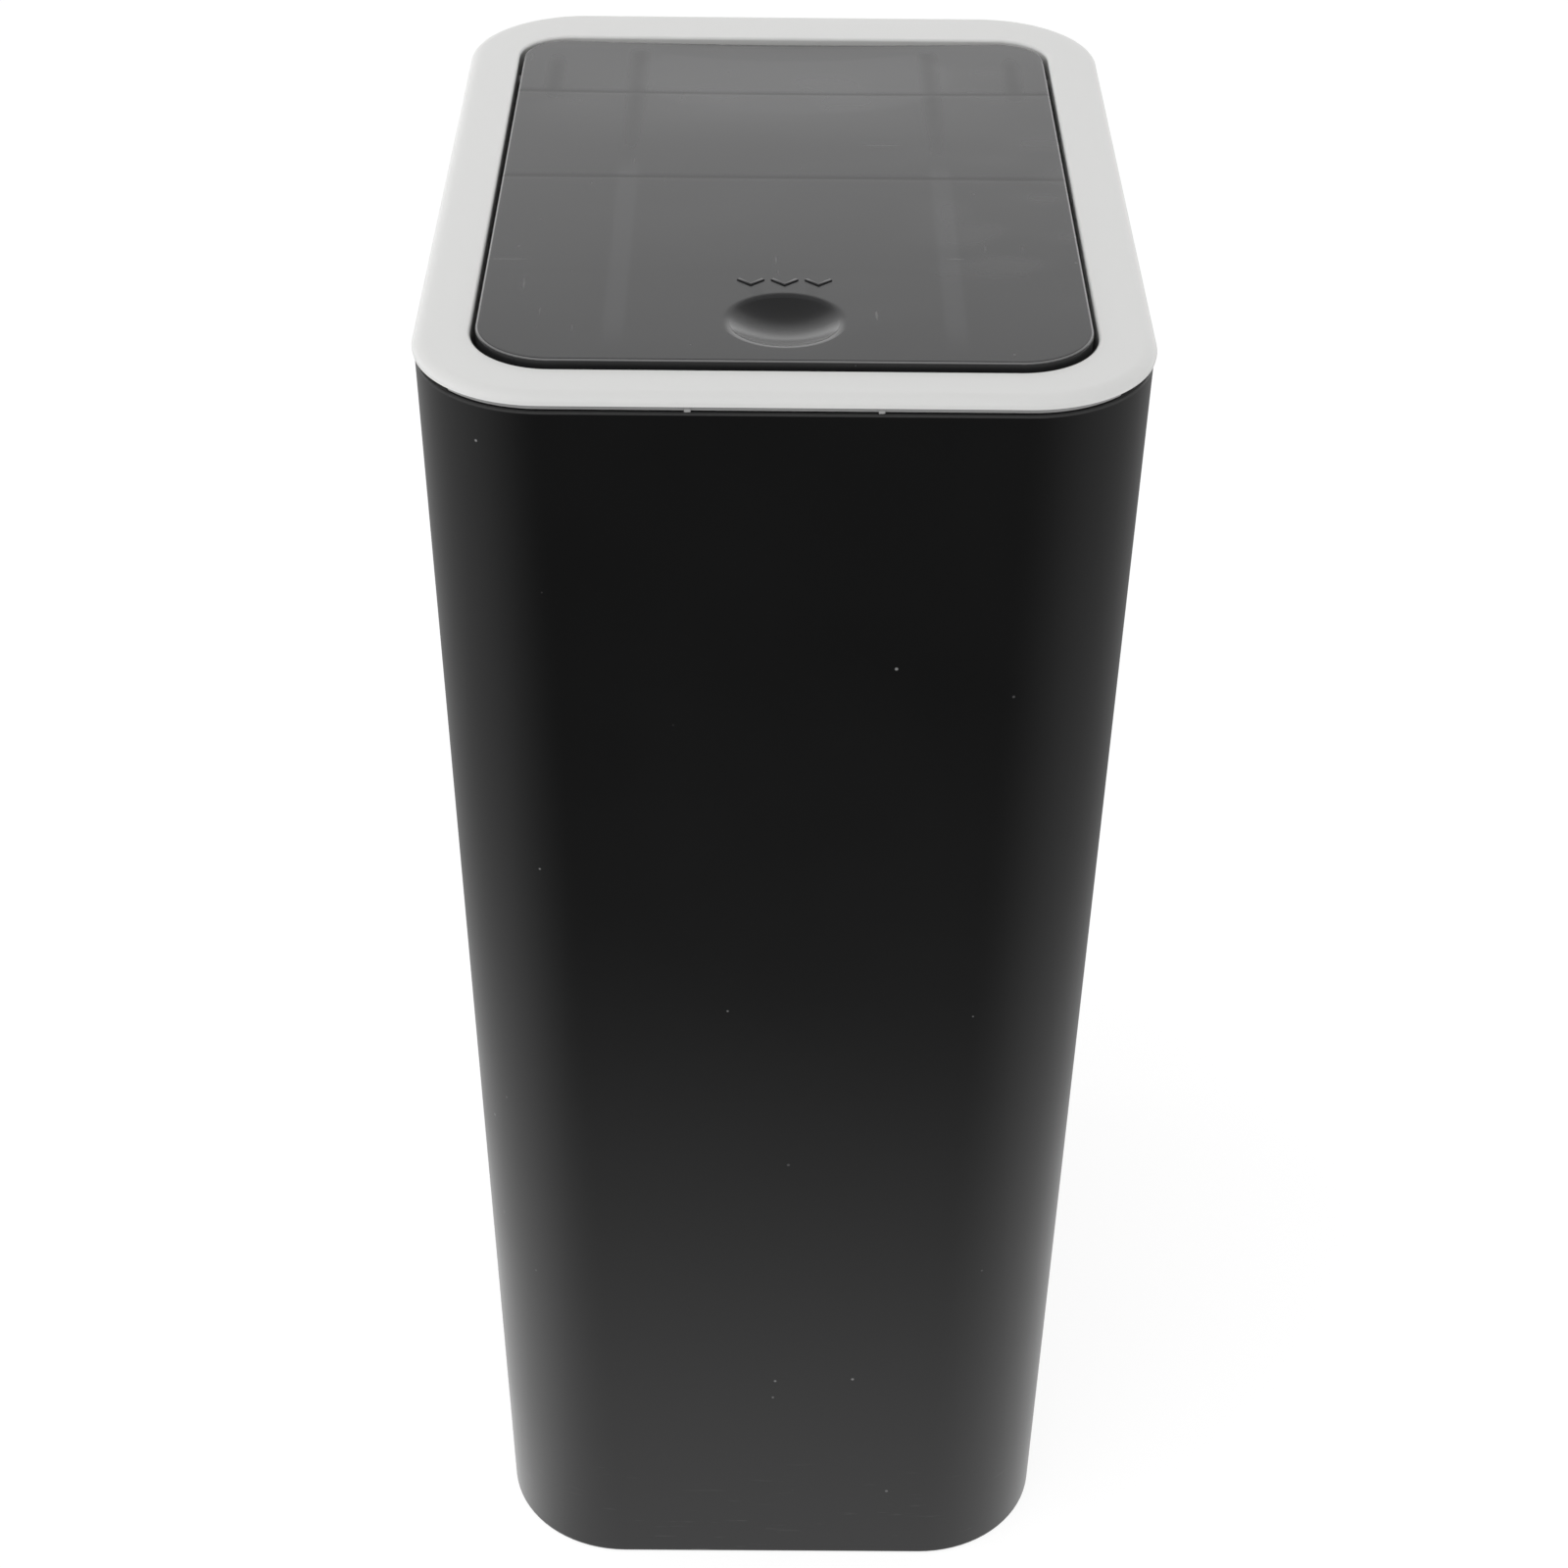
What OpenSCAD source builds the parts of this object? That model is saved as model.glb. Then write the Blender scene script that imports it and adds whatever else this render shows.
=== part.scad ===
// Push top bin: a tapered bucket, a lift-off rim frame, a sprung lid with a finger
// dimple, and the push latch below the dimple. Millimetres, +Z up, front at -Y.
// The origin is the centre of the base, on the surface that the bin stands on.

/* [Overall] */
// Height from the surface to the top of the rim
total_h = 338; // [300:1:400]
// Outside width of the rim
rim_w = 150; // [140:1:180]
// Outside depth of the rim, front to back
rim_d = 202; // [190:1:240]
// Outside corner radius of the rim
rim_r = 27; // [22:0.5:32]

/* [Bin body] */
// How far the rim stands past the body's top edge
rim_overhang = 0.5; // [0.2:0.1:1.5]
// How much narrower each side is at the base than at the top
body_taper = 6.8; // [2:0.2:10]
// Corner radius of the body at the top
body_r_top = 26.6; // [22:0.2:32]
// Corner radius of the body at the base
body_r_base = 30; // [24:0.5:34]
// Wall of the body
wall = 2.2; // [1.6:0.1:2.6]
// Thickness of the floor
floor_t = 2.6; // [2:0.1:4]
// Height of the foot under the floor
foot_h = 3; // [2:0.5:5]
// Width of the foot
foot_w = 7; // [5:0.5:12]
// Chamfer round the bottom edge
foot_chamfer = 1.2; // [0.6:0.1:2]
// Slope between the floor and the inner walls
floor_chamfer = 6; // [3:0.5:9]

/* [Rim frame] */
// Thickness of the rim's top plate at its edge
lip_t = 2.4; // [2:0.1:3.5]
// Rounding of the rim's top outer edge
lip_edge_r = 1.5; // [0.8:0.1:1.8]
// Gap between the lip and the body's top edge
reveal = 1.5; // [1:0.1:2.5]
// Width of the rim at each side
side_bar = 11.7; // [11:0.1:14]
// Width of the rim at the front
front_bar = 11.7; // [11:0.1:14]
// Width of the rim at the back
back_bar = 15.7; // [15:0.1:22]
// Corner radius of the opening at the front
open_r = 16.7; // [12:0.1:20]
// Corner radius of the opening at the back
open_back_r = 12; // [10:0.1:12]
// Wall round the opening
collar_t = 2; // [1.6:0.1:2.4]
// Depth of the wall round the opening, from the top
collar_h = 22.5; // [22:0.5:30]
// Wall that plugs into the body
plug_t = 1.8; // [1.4:0.1:2.2]
// Depth of the plug, from the top
plug_h = 18; // [14:0.5:22]
// Clearance between the plug and the body
plug_fit = 0.35; // [0.2:0.05:0.8]
// Thickness of the webs between plug and collar
web_t = 1.5; // [1.2:0.1:2]
// Depth of the webs, from the top
web_h = 12; // [8:0.5:15]
// Width of the pads that stand on the body's edge
pad_w = 2.6; // [2:0.2:4]
// Distance of the front and back pads from the middle
pad_x = 19; // [12:1:30]
// Distance of the side pads from the rim's front and back
pad_set = 49; // [40:1:60]
// Number of webs along each side
side_webs = 4; // [3:1:5]
// Distance of the front and back webs from the rim's sides
web_set = 35; // [30:1:45]

/* [Lid] */
// Gap between lid and rim at the front and sides
lid_gap = 1; // [0.6:0.1:1.5]
// Gap between lid and rim at the back
lid_rear_gap = 1.5; // [1.4:0.1:2]
// Thickness of the lid
lid_t = 2; // [1.8:0.1:2.4]
// Rounding of the lid's top edge
lid_edge_r = 0.8; // [0.4:0.1:1]
// Depth of the lid's skirt
lid_skirt_h = 9; // [8:0.5:11]
// Thickness of the lid's skirt
lid_skirt_t = 1.6; // [1.2:0.1:2]
// Angle at which the latch holds the lid above flush
lid_rise_deg = 0.5; // [0:0.1:0.8]
// Thickness of the ribs under the lid
rib_t = 1.2; // [1:0.1:1.5]
// Depth of the ribs below the lid's panel
rib_h = 5; // [3:0.5:6]
// Distance of the two long ribs from the middle
rib_x = 34.5; // [28:0.5:40]
// Spacing of the cross ribs
rib_pitch = 49.5; // [44:0.5:52]
// How far the middle cross rib lies behind the lid's middle
rib_shift = 3.8; // [0:0.2:6]
// Radius of the bowl of the finger dimple
dimple_bowl_r = 17; // [15:0.5:20]
// Depth of the finger dimple
dimple_depth = 5.5; // [4.5:0.1:6]
// Rounding of the shoulder round the dimple
dimple_shoulder_r = 3; // [2:0.1:4]
// Distance of the dimple and the latch from the opening's front edge
press_set = 19.7; // [18:0.1:24]

/* [Hinge] */
// Distance of the hinge line from the opening's back edge
hinge_set = 15.3; // [15.1:0.1:17]
// Depth of the hinge line below the rim's top
hinge_drop = 5.5; // [5.2:0.1:5.6]
// Radius of the hinge pins
hinge_pin_r = 1.5; // [1.2:0.1:1.5]
// Running clearance round every pin
pin_fit = 0.05; // [0.02:0.01:0.1]
// How far a hinge pin enters the rim
hinge_pin_seat = 6; // [4:0.5:6]
// Radius of the lid's hinge knuckles
knuckle_r = 3.5; // [3.2:0.1:3.6]
// Distance between each pair of hinge arms
arm_space = 5.8; // [5.6:0.1:6.4]
// Thickness of the inner hinge arms
arm_t = 1.8; // [1.4:0.1:2.2]
// Length of the inner hinge arms in front of the hinge line
arm_l = 22; // [16:1:26]
// Wire of the lid springs
lid_wire_d = 0.8; // [0.6:0.1:0.9]
// Radius of the lid springs to the middle of the wire
lid_coil_r = 2.7; // [2.5:0.1:2.8]
// Turns of each lid spring
lid_coil_turns = 2; // [2:1:2]
// Pitch of the lid springs
lid_coil_pitch = 1.26; // [1.22:0.02:1.32]
// Length of the legs of the lid springs
lid_leg_l = 12; // [8:0.5:14]
// How far the lower leg slopes down
lid_leg_slope = 3; // [2:0.5:5]

/* [Latch] */
// Length of the latch tongue below its flange
tongue_l = 17; // [15:0.5:20]
// Half width of the latch tongue
tongue_x = 5; // [4.6:0.1:5.2]
// Half thickness of the latch tongue
tongue_y = 2.2; // [2:0.1:2.6]
// Flange thickness of latch tongue and latch housing
flange_t = 2; // [1.6:0.1:2.4]
// Distance of the tongue's screws from the middle
tongue_screw_x = 7.4; // [7.4:0.1:8]
// Angle that the lid can be pressed down from where the latch holds it
press_deg = 0.7; // [0.5:0.1:0.8]
// Gap between moving latch pieces
latch_gap = 0.3; // [0.25:0.05:0.4]
// Gap round the tongue at the housing's sides and back
guide_gap = 0.4; // [0.4:0.05:0.6]
// Wall of the latch housing
housing_t = 1.6; // [1.2:0.1:2]
// Wire of the latch catch
catch_wire_d = 0.9; // [0.8:0.1:1]
// Length of the latch catch between its bends
catch_l = 15; // [13:0.5:16]
// Height of the catch's tip above the tongue's end
tip_rise = 6.3; // [5.5:0.1:7]
// How far the catch's tip reaches into the cam track
tip_reach = 1.1; // [0.9:0.1:1.3]
// Swing of the catch's tip to each side
tip_swing = 1.6; // [1.4:0.1:1.8]
// Depth of the cam track in the tongue
track_depth = 2; // [1.8:0.1:2.2]
// Height of the housing's mouth above the catch's tip
mouth_rise = 2; // [1.5:0.1:3]
// Thickness of the latch shelf under the rim
shelf_t = 2.5; // [2:0.1:3]
// Distance of the housing's screws from the middle
housing_screw_x = 10.4; // [10:0.1:12]
// Height of the gussets under the latch shelf
gusset_h = 13; // [8:0.5:16]

/* [Screws] */
// Shank radius of the small screws
screw_r = 0.9; // [0.7:0.05:1]
// Head radius of the small screws
screw_head_r = 1.9; // [1.6:0.1:2.1]
// Head height of the small screws
screw_head_h = 1.2; // [1:0.1:1.4]
// Length of the housing's screws below the head
housing_screw_l = 6; // [5.5:0.5:8]
// Length of the tongue's screws below the head
tongue_screw_l = 4.6; // [4:0.1:4.8]
// Radius left clear round a screw's shank
screw_fit = 0.1; // [0.05:0.05:0.2]

/* [Hidden] */

black = "#232323";
off_white = "#dcdcd8";
dark_grey = "#55565a";
natural = "#ecebe4";
steel = "#b4b6b8";

round_fn = 96;
small_fn = 32;
eps = 0.01;
ring_sides = 6;
rings_per_turn = 8;

// Body
body_h = total_h - lip_t - reveal;
top_w = rim_w - 2 * rim_overhang;
top_d = rim_d - 2 * rim_overhang;
function body_w_at(z) = top_w - 2 * body_taper * (1 - z / body_h);
function body_d_at(z) = top_d - 2 * body_taper * (1 - z / body_h);
function body_r_at(z) = body_r_base + (body_r_top - body_r_base) * z / body_h;
floor_z = foot_h + floor_t;

// Rim
open_w = rim_w - 2 * side_bar;
open_front = -rim_d / 2 + front_bar;
open_back = rim_d / 2 - back_bar;
open_d = open_back - open_front;
open_y = (open_back + open_front) / 2;
plug_low = total_h - plug_h;
plug_w = body_w_at(plug_low) - 2 * wall - 2 * plug_fit;
plug_d = body_d_at(plug_low) - 2 * wall - 2 * plug_fit;
plug_r = body_r_at(plug_low) - wall - plug_fit;
press_y = open_front + press_set;
hinge_y = open_back - hinge_set;
side_web_front = open_front + open_r + 10.6;
side_web_back = hinge_y - 22;

// Lid, in its own frame: the hinge line is the origin of turning
hinge_z = total_h - hinge_drop;
lid_w = open_w - 2 * lid_gap;
lid_front = open_front + lid_gap;
lid_back = open_back - lid_rear_gap;
lid_d = lid_back - lid_front;
lid_y = (lid_back + lid_front) / 2;
rib_mid_y = lid_y + rib_shift;
lid_r = open_r - lid_gap;
lid_back_r = open_back_r - lid_gap;
outer_arm_x = lid_w / 2 - lid_skirt_t;
inner_arm_x = outer_arm_x - arm_space - arm_t;
lid_coil_l = (lid_coil_turns + 0.5) * lid_coil_pitch;
lid_coil_x = inner_arm_x + arm_t + lid_wire_d / 2 + latch_gap;
lid_leg_low = -lid_coil_r - lid_leg_slope;

// Dimple: a bowl and a rounded shoulder that meet tangent
dimple_c = dimple_bowl_r - dimple_depth;
shoulder_x = sqrt(pow(dimple_bowl_r + dimple_shoulder_r, 2) - pow(dimple_c + dimple_shoulder_r, 2));
shoulder_low = dimple_c - (dimple_c + dimple_shoulder_r) * dimple_bowl_r
               / (dimple_bowl_r + dimple_shoulder_r);
seat_t = 1;
seat_z = total_h - dimple_depth - lid_t - seat_t;
seat_x = tongue_screw_x + screw_head_r + 0.7;
seat_y = 5;

// Latch: the tongue in the closed lid's frame, the rest where it stands
flange_low = seat_z - flange_t;
tongue_low = flange_low - tongue_l;
press_rise = (hinge_y - press_y) * sin(lid_rise_deg);
press_travel = (hinge_y - press_y) * sin(press_deg);
catch_r = catch_wire_d / 2;
catch_y = -tongue_y - latch_gap - catch_r;
catch_tip_z = tongue_low + press_rise + tip_rise;
catch_pivot_z = catch_tip_z - catch_l;
housing_top = catch_tip_z + mouth_rise;
housing_x = tongue_x + guide_gap;
housing_back = tongue_y + guide_gap;
housing_front = catch_y - catch_r - latch_gap;
shelf_top = housing_top - flange_t;
shelf_x = housing_screw_x + 4;
shelf_back = housing_back + housing_t + 3.5;

// A centred rounded rectangle with true arcs; its back corners may have their own radius
module rrect(w, d, r, back_r = 0) {
    rb = back_r > 0 ? back_r : r;
    translate([-w / 2, r - d / 2]) square([w, d - r - rb]);
    translate([r - w / 2, -d / 2]) square([w - 2 * r, d / 2]);
    translate([rb - w / 2, 0]) square([w - 2 * rb, d / 2]);
    for (x = [-1, 1]) {
        translate([x * (w / 2 - r), r - d / 2]) circle(r, $fn = round_fn);
        translate([x * (w / 2 - rb), d / 2 - rb]) circle(rb, $fn = round_fn);
    }
}

module rblock(w, d, r, z0, z1, back_r = 0) {
    translate([0, 0, z0]) linear_extrude(z1 - z0) rrect(w, d, r, back_r);
}

// Carries a profile round a rounded rectangle; x = 0 in the profile is the outline
module round_rim(w, d, r, back_r = 0) {
    rb = back_r > 0 ? back_r : r;
    for (s = [-1, 1]) to_side(s) {
        translate([w / 2, d / 2 - rb, 0]) rotate([90, 0, 0]) linear_extrude(d - r - rb) children();
        translate([w / 2 - r, r - d / 2, 0]) mirror([0, 1, 0])
            rotate_extrude(angle = 90, $fn = round_fn) translate([r, 0]) children();
        translate([w / 2 - rb, d / 2 - rb, 0])
            rotate_extrude(angle = 90, $fn = round_fn) translate([rb, 0]) children();
    }
    rotate([0, 0, -90]) translate([d / 2, w / 2 - r, 0])
        rotate([90, 0, 0]) linear_extrude(w - 2 * r) children();
    rotate([0, 0, 90]) translate([d / 2, w / 2 - rb, 0])
        rotate([90, 0, 0]) linear_extrude(w - 2 * rb) children();
}

// An edge profile hanging below y = 0: width w, height h, top radius rt, bottom radius rb
module edge_profile(w, h, rt, rb) {
    translate([-w, -h]) square([w - rt, h]);
    translate([-w, -h + rb]) square([w, h - rt - rb]);
    translate([-rt, -rt]) circle(rt, $fn = small_fn);
    translate([-rb, -h + rb]) circle(rb, $fn = small_fn);
    translate([-w, -h]) square([w - rb, rb]);
}

module x_rod(r, x0, x1, fn = small_fn) {
    translate([x0, 0, 0]) rotate([0, 90, 0]) cylinder(r = r, h = x1 - x0, $fn = fn);
}

module y_rod(r, y0, y1, fn = small_fn) {
    translate([0, y0, 0]) rotate([-90, 0, 0]) cylinder(r = r, h = y1 - y0, $fn = fn);
}

// Moves a box so that it runs between two corners
module span(a, b) {
    translate(a) cube(b - a);
}

// Swept tube along points, with a frame carried from ring to ring
function unit(v) = v / norm(v);
function heading(p, i) = unit(p[min(i + 1, len(p) - 1)] - p[max(i - 1, 0)]);
function square_to(n, t) = unit(n - (n * t) * t);
function side_of(t) = square_to(abs(t.z) < 0.9 ? [0, 0, 1] : [1, 0, 0], t);
function frames(p) = [for (i = 0, n = side_of(heading(p, 0)); i < len(p);
    i = i + 1, n = i < len(p) ? square_to(n, heading(p, i)) : n) n];

module tube(p, d) {
    f = frames(p);
    last = (len(p) - 1) * ring_sides;
    points = [for (i = [0 : len(p) - 1], k = [0 : ring_sides - 1])
        p[i] + d / 2 * (cos(k * 360 / ring_sides) * f[i]
        + sin(k * 360 / ring_sides) * cross(heading(p, i), f[i]))];
    sides = [for (i = [0 : len(p) - 2], k = [0 : ring_sides - 1])
        let (a = i * ring_sides + k, b = i * ring_sides + (k + 1) % ring_sides)
        each [[a, b + ring_sides, b], [a, a + ring_sides, b + ring_sides]]];
    ends = [for (k = [1 : ring_sides - 2])
        each [[0, k, k + 1], [last, last + k + 1, last + k]]];
    polyhedron(points, concat(sides, ends));
}

function own_gap(p, d, skip) = min([for (i = [0 : len(p) - 1], j = [i + skip : 1 : len(p) - 1])
    norm(p[i] - p[j])]) - d;

// Points of one lid spring about the hinge line at x = 0 onwards; both legs run forward
lid_turn_steps = lid_coil_turns * rings_per_turn + rings_per_turn / 2;
lid_spring_points = concat(
    [[open_w / 2 + collar_t - lid_coil_x, -lid_leg_l, lid_leg_low],
     [lid_coil_l + 1, -lid_leg_l, lid_leg_low],
     [lid_coil_l, -lid_leg_l + 1, lid_leg_low + 0.3]],
    [for (i = [0 : lid_turn_steps])
        let (a = -90 + i * 360 / rings_per_turn, s = i / lid_turn_steps)
        [lid_coil_l * (1 - s), lid_coil_r * cos(a), lid_coil_r * sin(a)]],
    [[0, -lid_leg_l / 2, lid_coil_r], [0, -lid_leg_l, lid_coil_r]]);

echo(lid_spring_least_gap = own_gap(lid_spring_points, lid_wire_d, rings_per_turn - 2));

module body_slice(z, inset) {
    translate([0, 0, z]) linear_extrude(eps)
        rrect(body_w_at(z) - 2 * inset, body_d_at(z) - 2 * inset, body_r_at(z) - inset, $fn = small_fn);
}

module bin_body() {
    color(black) difference() {
        hull() {
            body_slice(0, foot_chamfer);
            body_slice(foot_chamfer, 0);
            body_slice(body_h - eps, 0);
        }
        hull() {
            body_slice(floor_z, wall + floor_chamfer);
            body_slice(floor_z + floor_chamfer, wall);
            body_slice(body_h + 1, wall);
        }
        rblock(body_w_at(0) - 2 * foot_w, body_d_at(0) - 2 * foot_w,
               body_r_base - foot_w, -1, foot_h);
    }
}

// The shelf that carries the latch, with its apron and two gussets
module latch_shelf() {
    shelf_low = shelf_top - shelf_t;
    apron_low = shelf_low - gusset_h;
    apron_front = open_front - collar_t - press_y;
    apron_back = open_front - press_y;
    translate([0, press_y, 0]) difference() {
        union() {
            span([-shelf_x, apron_front, shelf_low], [shelf_x, shelf_back, shelf_top]);
            span([-shelf_x, apron_front, apron_low], [shelf_x, apron_back, shelf_top]);
            for (x = [-shelf_x, shelf_x - collar_t])
                translate([x, 0, 0]) rotate([90, 0, 90]) linear_extrude(collar_t)
                    polygon([[apron_back - eps, shelf_low + eps], [shelf_back, shelf_low + eps],
                             [shelf_back, shelf_low - 1], [apron_back - eps, apron_low]]);
        }
        span([-housing_x - housing_t - latch_gap, housing_front - housing_t - latch_gap, shelf_low - 1],
             [housing_x + housing_t + latch_gap, housing_back + housing_t + latch_gap, shelf_top + 1]);
        for (x = [-1, 1])
            translate([x * housing_screw_x, 0, shelf_low - 1])
                cylinder(r = screw_r + screw_fit, h = shelf_t + 2, $fn = small_fn);
    }
}

module rim_frame() {
    lip_in = 6;
    top_inset = lip_in - 1;
    pad_inset = rim_overhang + 0.6;
    lip_low = total_h - lip_t;
    boss_r = hinge_pin_r + 3;
    color(off_white) difference() {
        union() {
            translate([0, 0, total_h]) round_rim(rim_w, rim_d, rim_r)
                edge_profile(lip_in, lip_t, lip_edge_r, 0.4);
            rblock(rim_w - 2 * top_inset, rim_d - 2 * top_inset, rim_r - top_inset,
                   lip_low, total_h);
            translate([0, open_y, 0])
                rblock(open_w + 2 * collar_t, open_d + 2 * collar_t, open_r + collar_t,
                       total_h - collar_h, lip_low + eps, open_back_r + collar_t);
            difference() {
                rblock(plug_w, plug_d, plug_r, plug_low, lip_low + eps);
                rblock(plug_w - 2 * plug_t, plug_d - 2 * plug_t, plug_r - plug_t,
                       plug_low - 1, lip_low);
            }
            for (s = [-1, 1]) {
                to_side(s) {
                    for (i = [0 : side_webs - 1])
                        let (y = side_web_front + i * (side_web_back - side_web_front) / (side_webs - 1))
                            span([open_w / 2, y - web_t / 2, total_h - web_h],
                                 [plug_w / 2 - 1, y + web_t / 2, lip_low + eps]);
                    for (y = [pad_set - rim_d / 2, rim_d / 2 - pad_set])
                        span([plug_w / 2 - 1, y - pad_w / 2, body_h],
                             [rim_w / 2 - pad_inset, y + pad_w / 2, lip_low + eps]);
                    span([open_w / 2, hinge_y - boss_r, hinge_z - boss_r],
                         [plug_w / 2 - 1, hinge_y + boss_r, lip_low + eps]);
                    span([rim_w / 2 - web_set - web_t / 2, -plug_d / 2 + 1, total_h - web_h],
                         [rim_w / 2 - web_set + web_t / 2, open_front, lip_low + eps]);
                    span([rim_w / 2 - web_set - web_t / 2, open_back, total_h - web_h],
                         [rim_w / 2 - web_set + web_t / 2, plug_d / 2 - 1, lip_low + eps]);
                    span([pad_x - pad_w / 2, -rim_d / 2 + pad_inset, body_h],
                         [pad_x + pad_w / 2, -plug_d / 2 + 1, lip_low + eps]);
                    span([pad_x - pad_w / 2, plug_d / 2 - 1, body_h],
                         [pad_x + pad_w / 2, rim_d / 2 - pad_inset, lip_low + eps]);
                }
            }
        }
        translate([0, open_y, 0]) rblock(open_w, open_d, open_r, total_h - collar_h - 1, total_h + 1,
                                          open_back_r);
        for (s = [-1, 1]) {
            translate([0, hinge_y, hinge_z]) to_side(s)
                x_rod(hinge_pin_r + pin_fit, open_w / 2 - 1, open_w / 2 + hinge_pin_seat + 0.3);
            translate([0, hinge_y - lid_leg_l, hinge_z + lid_leg_low]) to_side(s)
                x_rod(lid_wire_d / 2 + 0.3, open_w / 2 - 1, open_w / 2 + collar_t + 1);
        }
    }
    color(off_white) latch_shelf();
}

// Mirrors what is drawn on the right to the left where s is -1
module to_side(s) {
    if (s < 0) mirror([1, 0, 0]) children();
    else children();
}

// Turns what is drawn in the closed lid's own frame up to where the latch holds it
module at_lid() {
    translate([0, hinge_y, hinge_z]) rotate([-lid_rise_deg, 0, 0])
        translate([0, -hinge_y, -hinge_z]) children();
}

module dimple_void() {
    translate([0, press_y, total_h]) rotate_extrude($fn = round_fn) {
        intersection() {
            translate([0, dimple_c]) circle(dimple_bowl_r, $fn = round_fn);
            translate([0, -dimple_depth - 1]) square([dimple_bowl_r, dimple_depth + 1 + shoulder_low]);
        }
        difference() {
            translate([0, shoulder_low - eps]) square([shoulder_x, 1 - shoulder_low]);
            translate([shoulder_x, -dimple_shoulder_r]) circle(dimple_shoulder_r, $fn = round_fn);
        }
    }
}

module dimple_shell() {
    translate([0, press_y, total_h]) rotate_extrude($fn = round_fn)
        intersection() {
            translate([0, dimple_c]) circle(dimple_bowl_r + lid_t, $fn = round_fn);
            translate([0, -dimple_depth - lid_t - 1])
                square([dimple_bowl_r + lid_t, dimple_depth + lid_t + 1 - lid_t / 2]);
        }
}

module hinge_arm(x0, x1) {
    translate([x0, 0, 0]) rotate([90, 0, 90]) linear_extrude(x1 - x0) {
        translate([hinge_y, hinge_z]) circle(knuckle_r, $fn = small_fn);
        translate([hinge_y - knuckle_r, hinge_z]) square([2 * knuckle_r, hinge_drop - lid_t / 2]);
        polygon([[hinge_y - arm_l, total_h - lid_t / 2], [hinge_y, total_h - lid_t / 2],
                 [hinge_y, hinge_z - knuckle_r], [hinge_y - arm_l, total_h - lid_t - rib_h]]);
    }
}

module lid_panel() {
    panel_low = total_h - lid_t;
    rib_low = panel_low - rib_h;
    long_rib_back = rib_mid_y + rib_pitch;
    color(dark_grey) at_lid() difference() {
        union() {
            translate([0, lid_y, total_h]) round_rim(lid_w, lid_d, lid_r, lid_back_r)
                edge_profile(lid_skirt_t, lid_skirt_h, lid_edge_r, 0.3);
            translate([0, lid_y, 0])
                rblock(lid_w - lid_skirt_t, lid_d - lid_skirt_t, lid_r - lid_skirt_t / 2,
                       panel_low, total_h, lid_back_r - lid_skirt_t / 2);
            dimple_shell();
            span([-seat_x, press_y - seat_y, seat_z], [seat_x, press_y + seat_y, panel_low + eps]);
            for (s = [-1, 1]) {
                span([s * rib_x - rib_t / 2, lid_front + 1, rib_low],
                     [s * rib_x + rib_t / 2, long_rib_back, panel_low + eps]);
                to_side(s) hinge_arm(inner_arm_x, inner_arm_x + arm_t);
            }
            intersection() {
                translate([0, hinge_y, hinge_z]) for (s = [-1, 1])
                    to_side(s) x_rod(knuckle_r, outer_arm_x, lid_w / 2);
                translate([0, lid_y, 0]) rblock(lid_w, lid_d, lid_r, total_h - lid_skirt_h, total_h,
                                              lid_back_r);
            }
            for (k = [-1 : 1])
                translate([0, rib_mid_y + k * rib_pitch, 0])
                    span([-outer_arm_x - 0.5, -rib_t / 2, rib_low],
                         [outer_arm_x + 0.5, rib_t / 2, panel_low + eps]);
            for (s = [-1, 1])
                span([s * (seat_x - rib_t) - rib_t / 2, press_y + seat_y - 1, rib_low],
                     [s * (seat_x - rib_t) + rib_t / 2, rib_mid_y - rib_pitch, panel_low + eps]);
        }
        dimple_void();
        translate([0, hinge_y, hinge_z]) {
            x_rod(hinge_pin_r + pin_fit, inner_arm_x - 1, lid_w / 2 + 1);
            x_rod(hinge_pin_r + pin_fit, -lid_w / 2 - 1, -inner_arm_x + 1);
        }
        for (s = [-1, 1])
            translate([s * tongue_screw_x, press_y, seat_z - 1])
                cylinder(r = screw_r + screw_fit, h = 1 + tongue_screw_l - flange_t + 0.4,
                         $fn = small_fn);
    }
}

module hinge_pin(s) {
    color(steel) translate([0, hinge_y, hinge_z]) to_side(s)
        x_rod(hinge_pin_r, inner_arm_x - 0.2, open_w / 2 + hinge_pin_seat, round_fn);
}

module lid_spring(s) {
    color(steel) translate([0, hinge_y, hinge_z]) to_side(s)
        translate([lid_coil_x, 0, 0]) tube(lid_spring_points, lid_wire_d);
}

// The cam track: an open pocket with a heart-shaped island below the catch's tip
module cam_track() {
    tip_z = catch_tip_z - press_rise;
    track_x = tip_swing + catch_r + 2 * latch_gap;
    track_top = tip_z + press_travel + catch_wire_d;
    lobe_x = 0.45;
    lobe_r = 0.62;
    island_z = tip_z - 1.8;
    translate([0, -tongue_y - 1, 0]) rotate([-90, 0, 0]) linear_extrude(1 + track_depth)
        mirror([0, 1]) difference() {
            polygon([[-track_x, tongue_low - 1], [track_x, tongue_low - 1],
                     [track_x, track_top], [-track_x, track_top + 1]]);
            translate([0, island_z]) {
                rotate(45) square(1.5, center = true);
                for (x = [-lobe_x, lobe_x]) translate([x, 0.55]) circle(lobe_r, $fn = small_fn);
            }
        }
}

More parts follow.
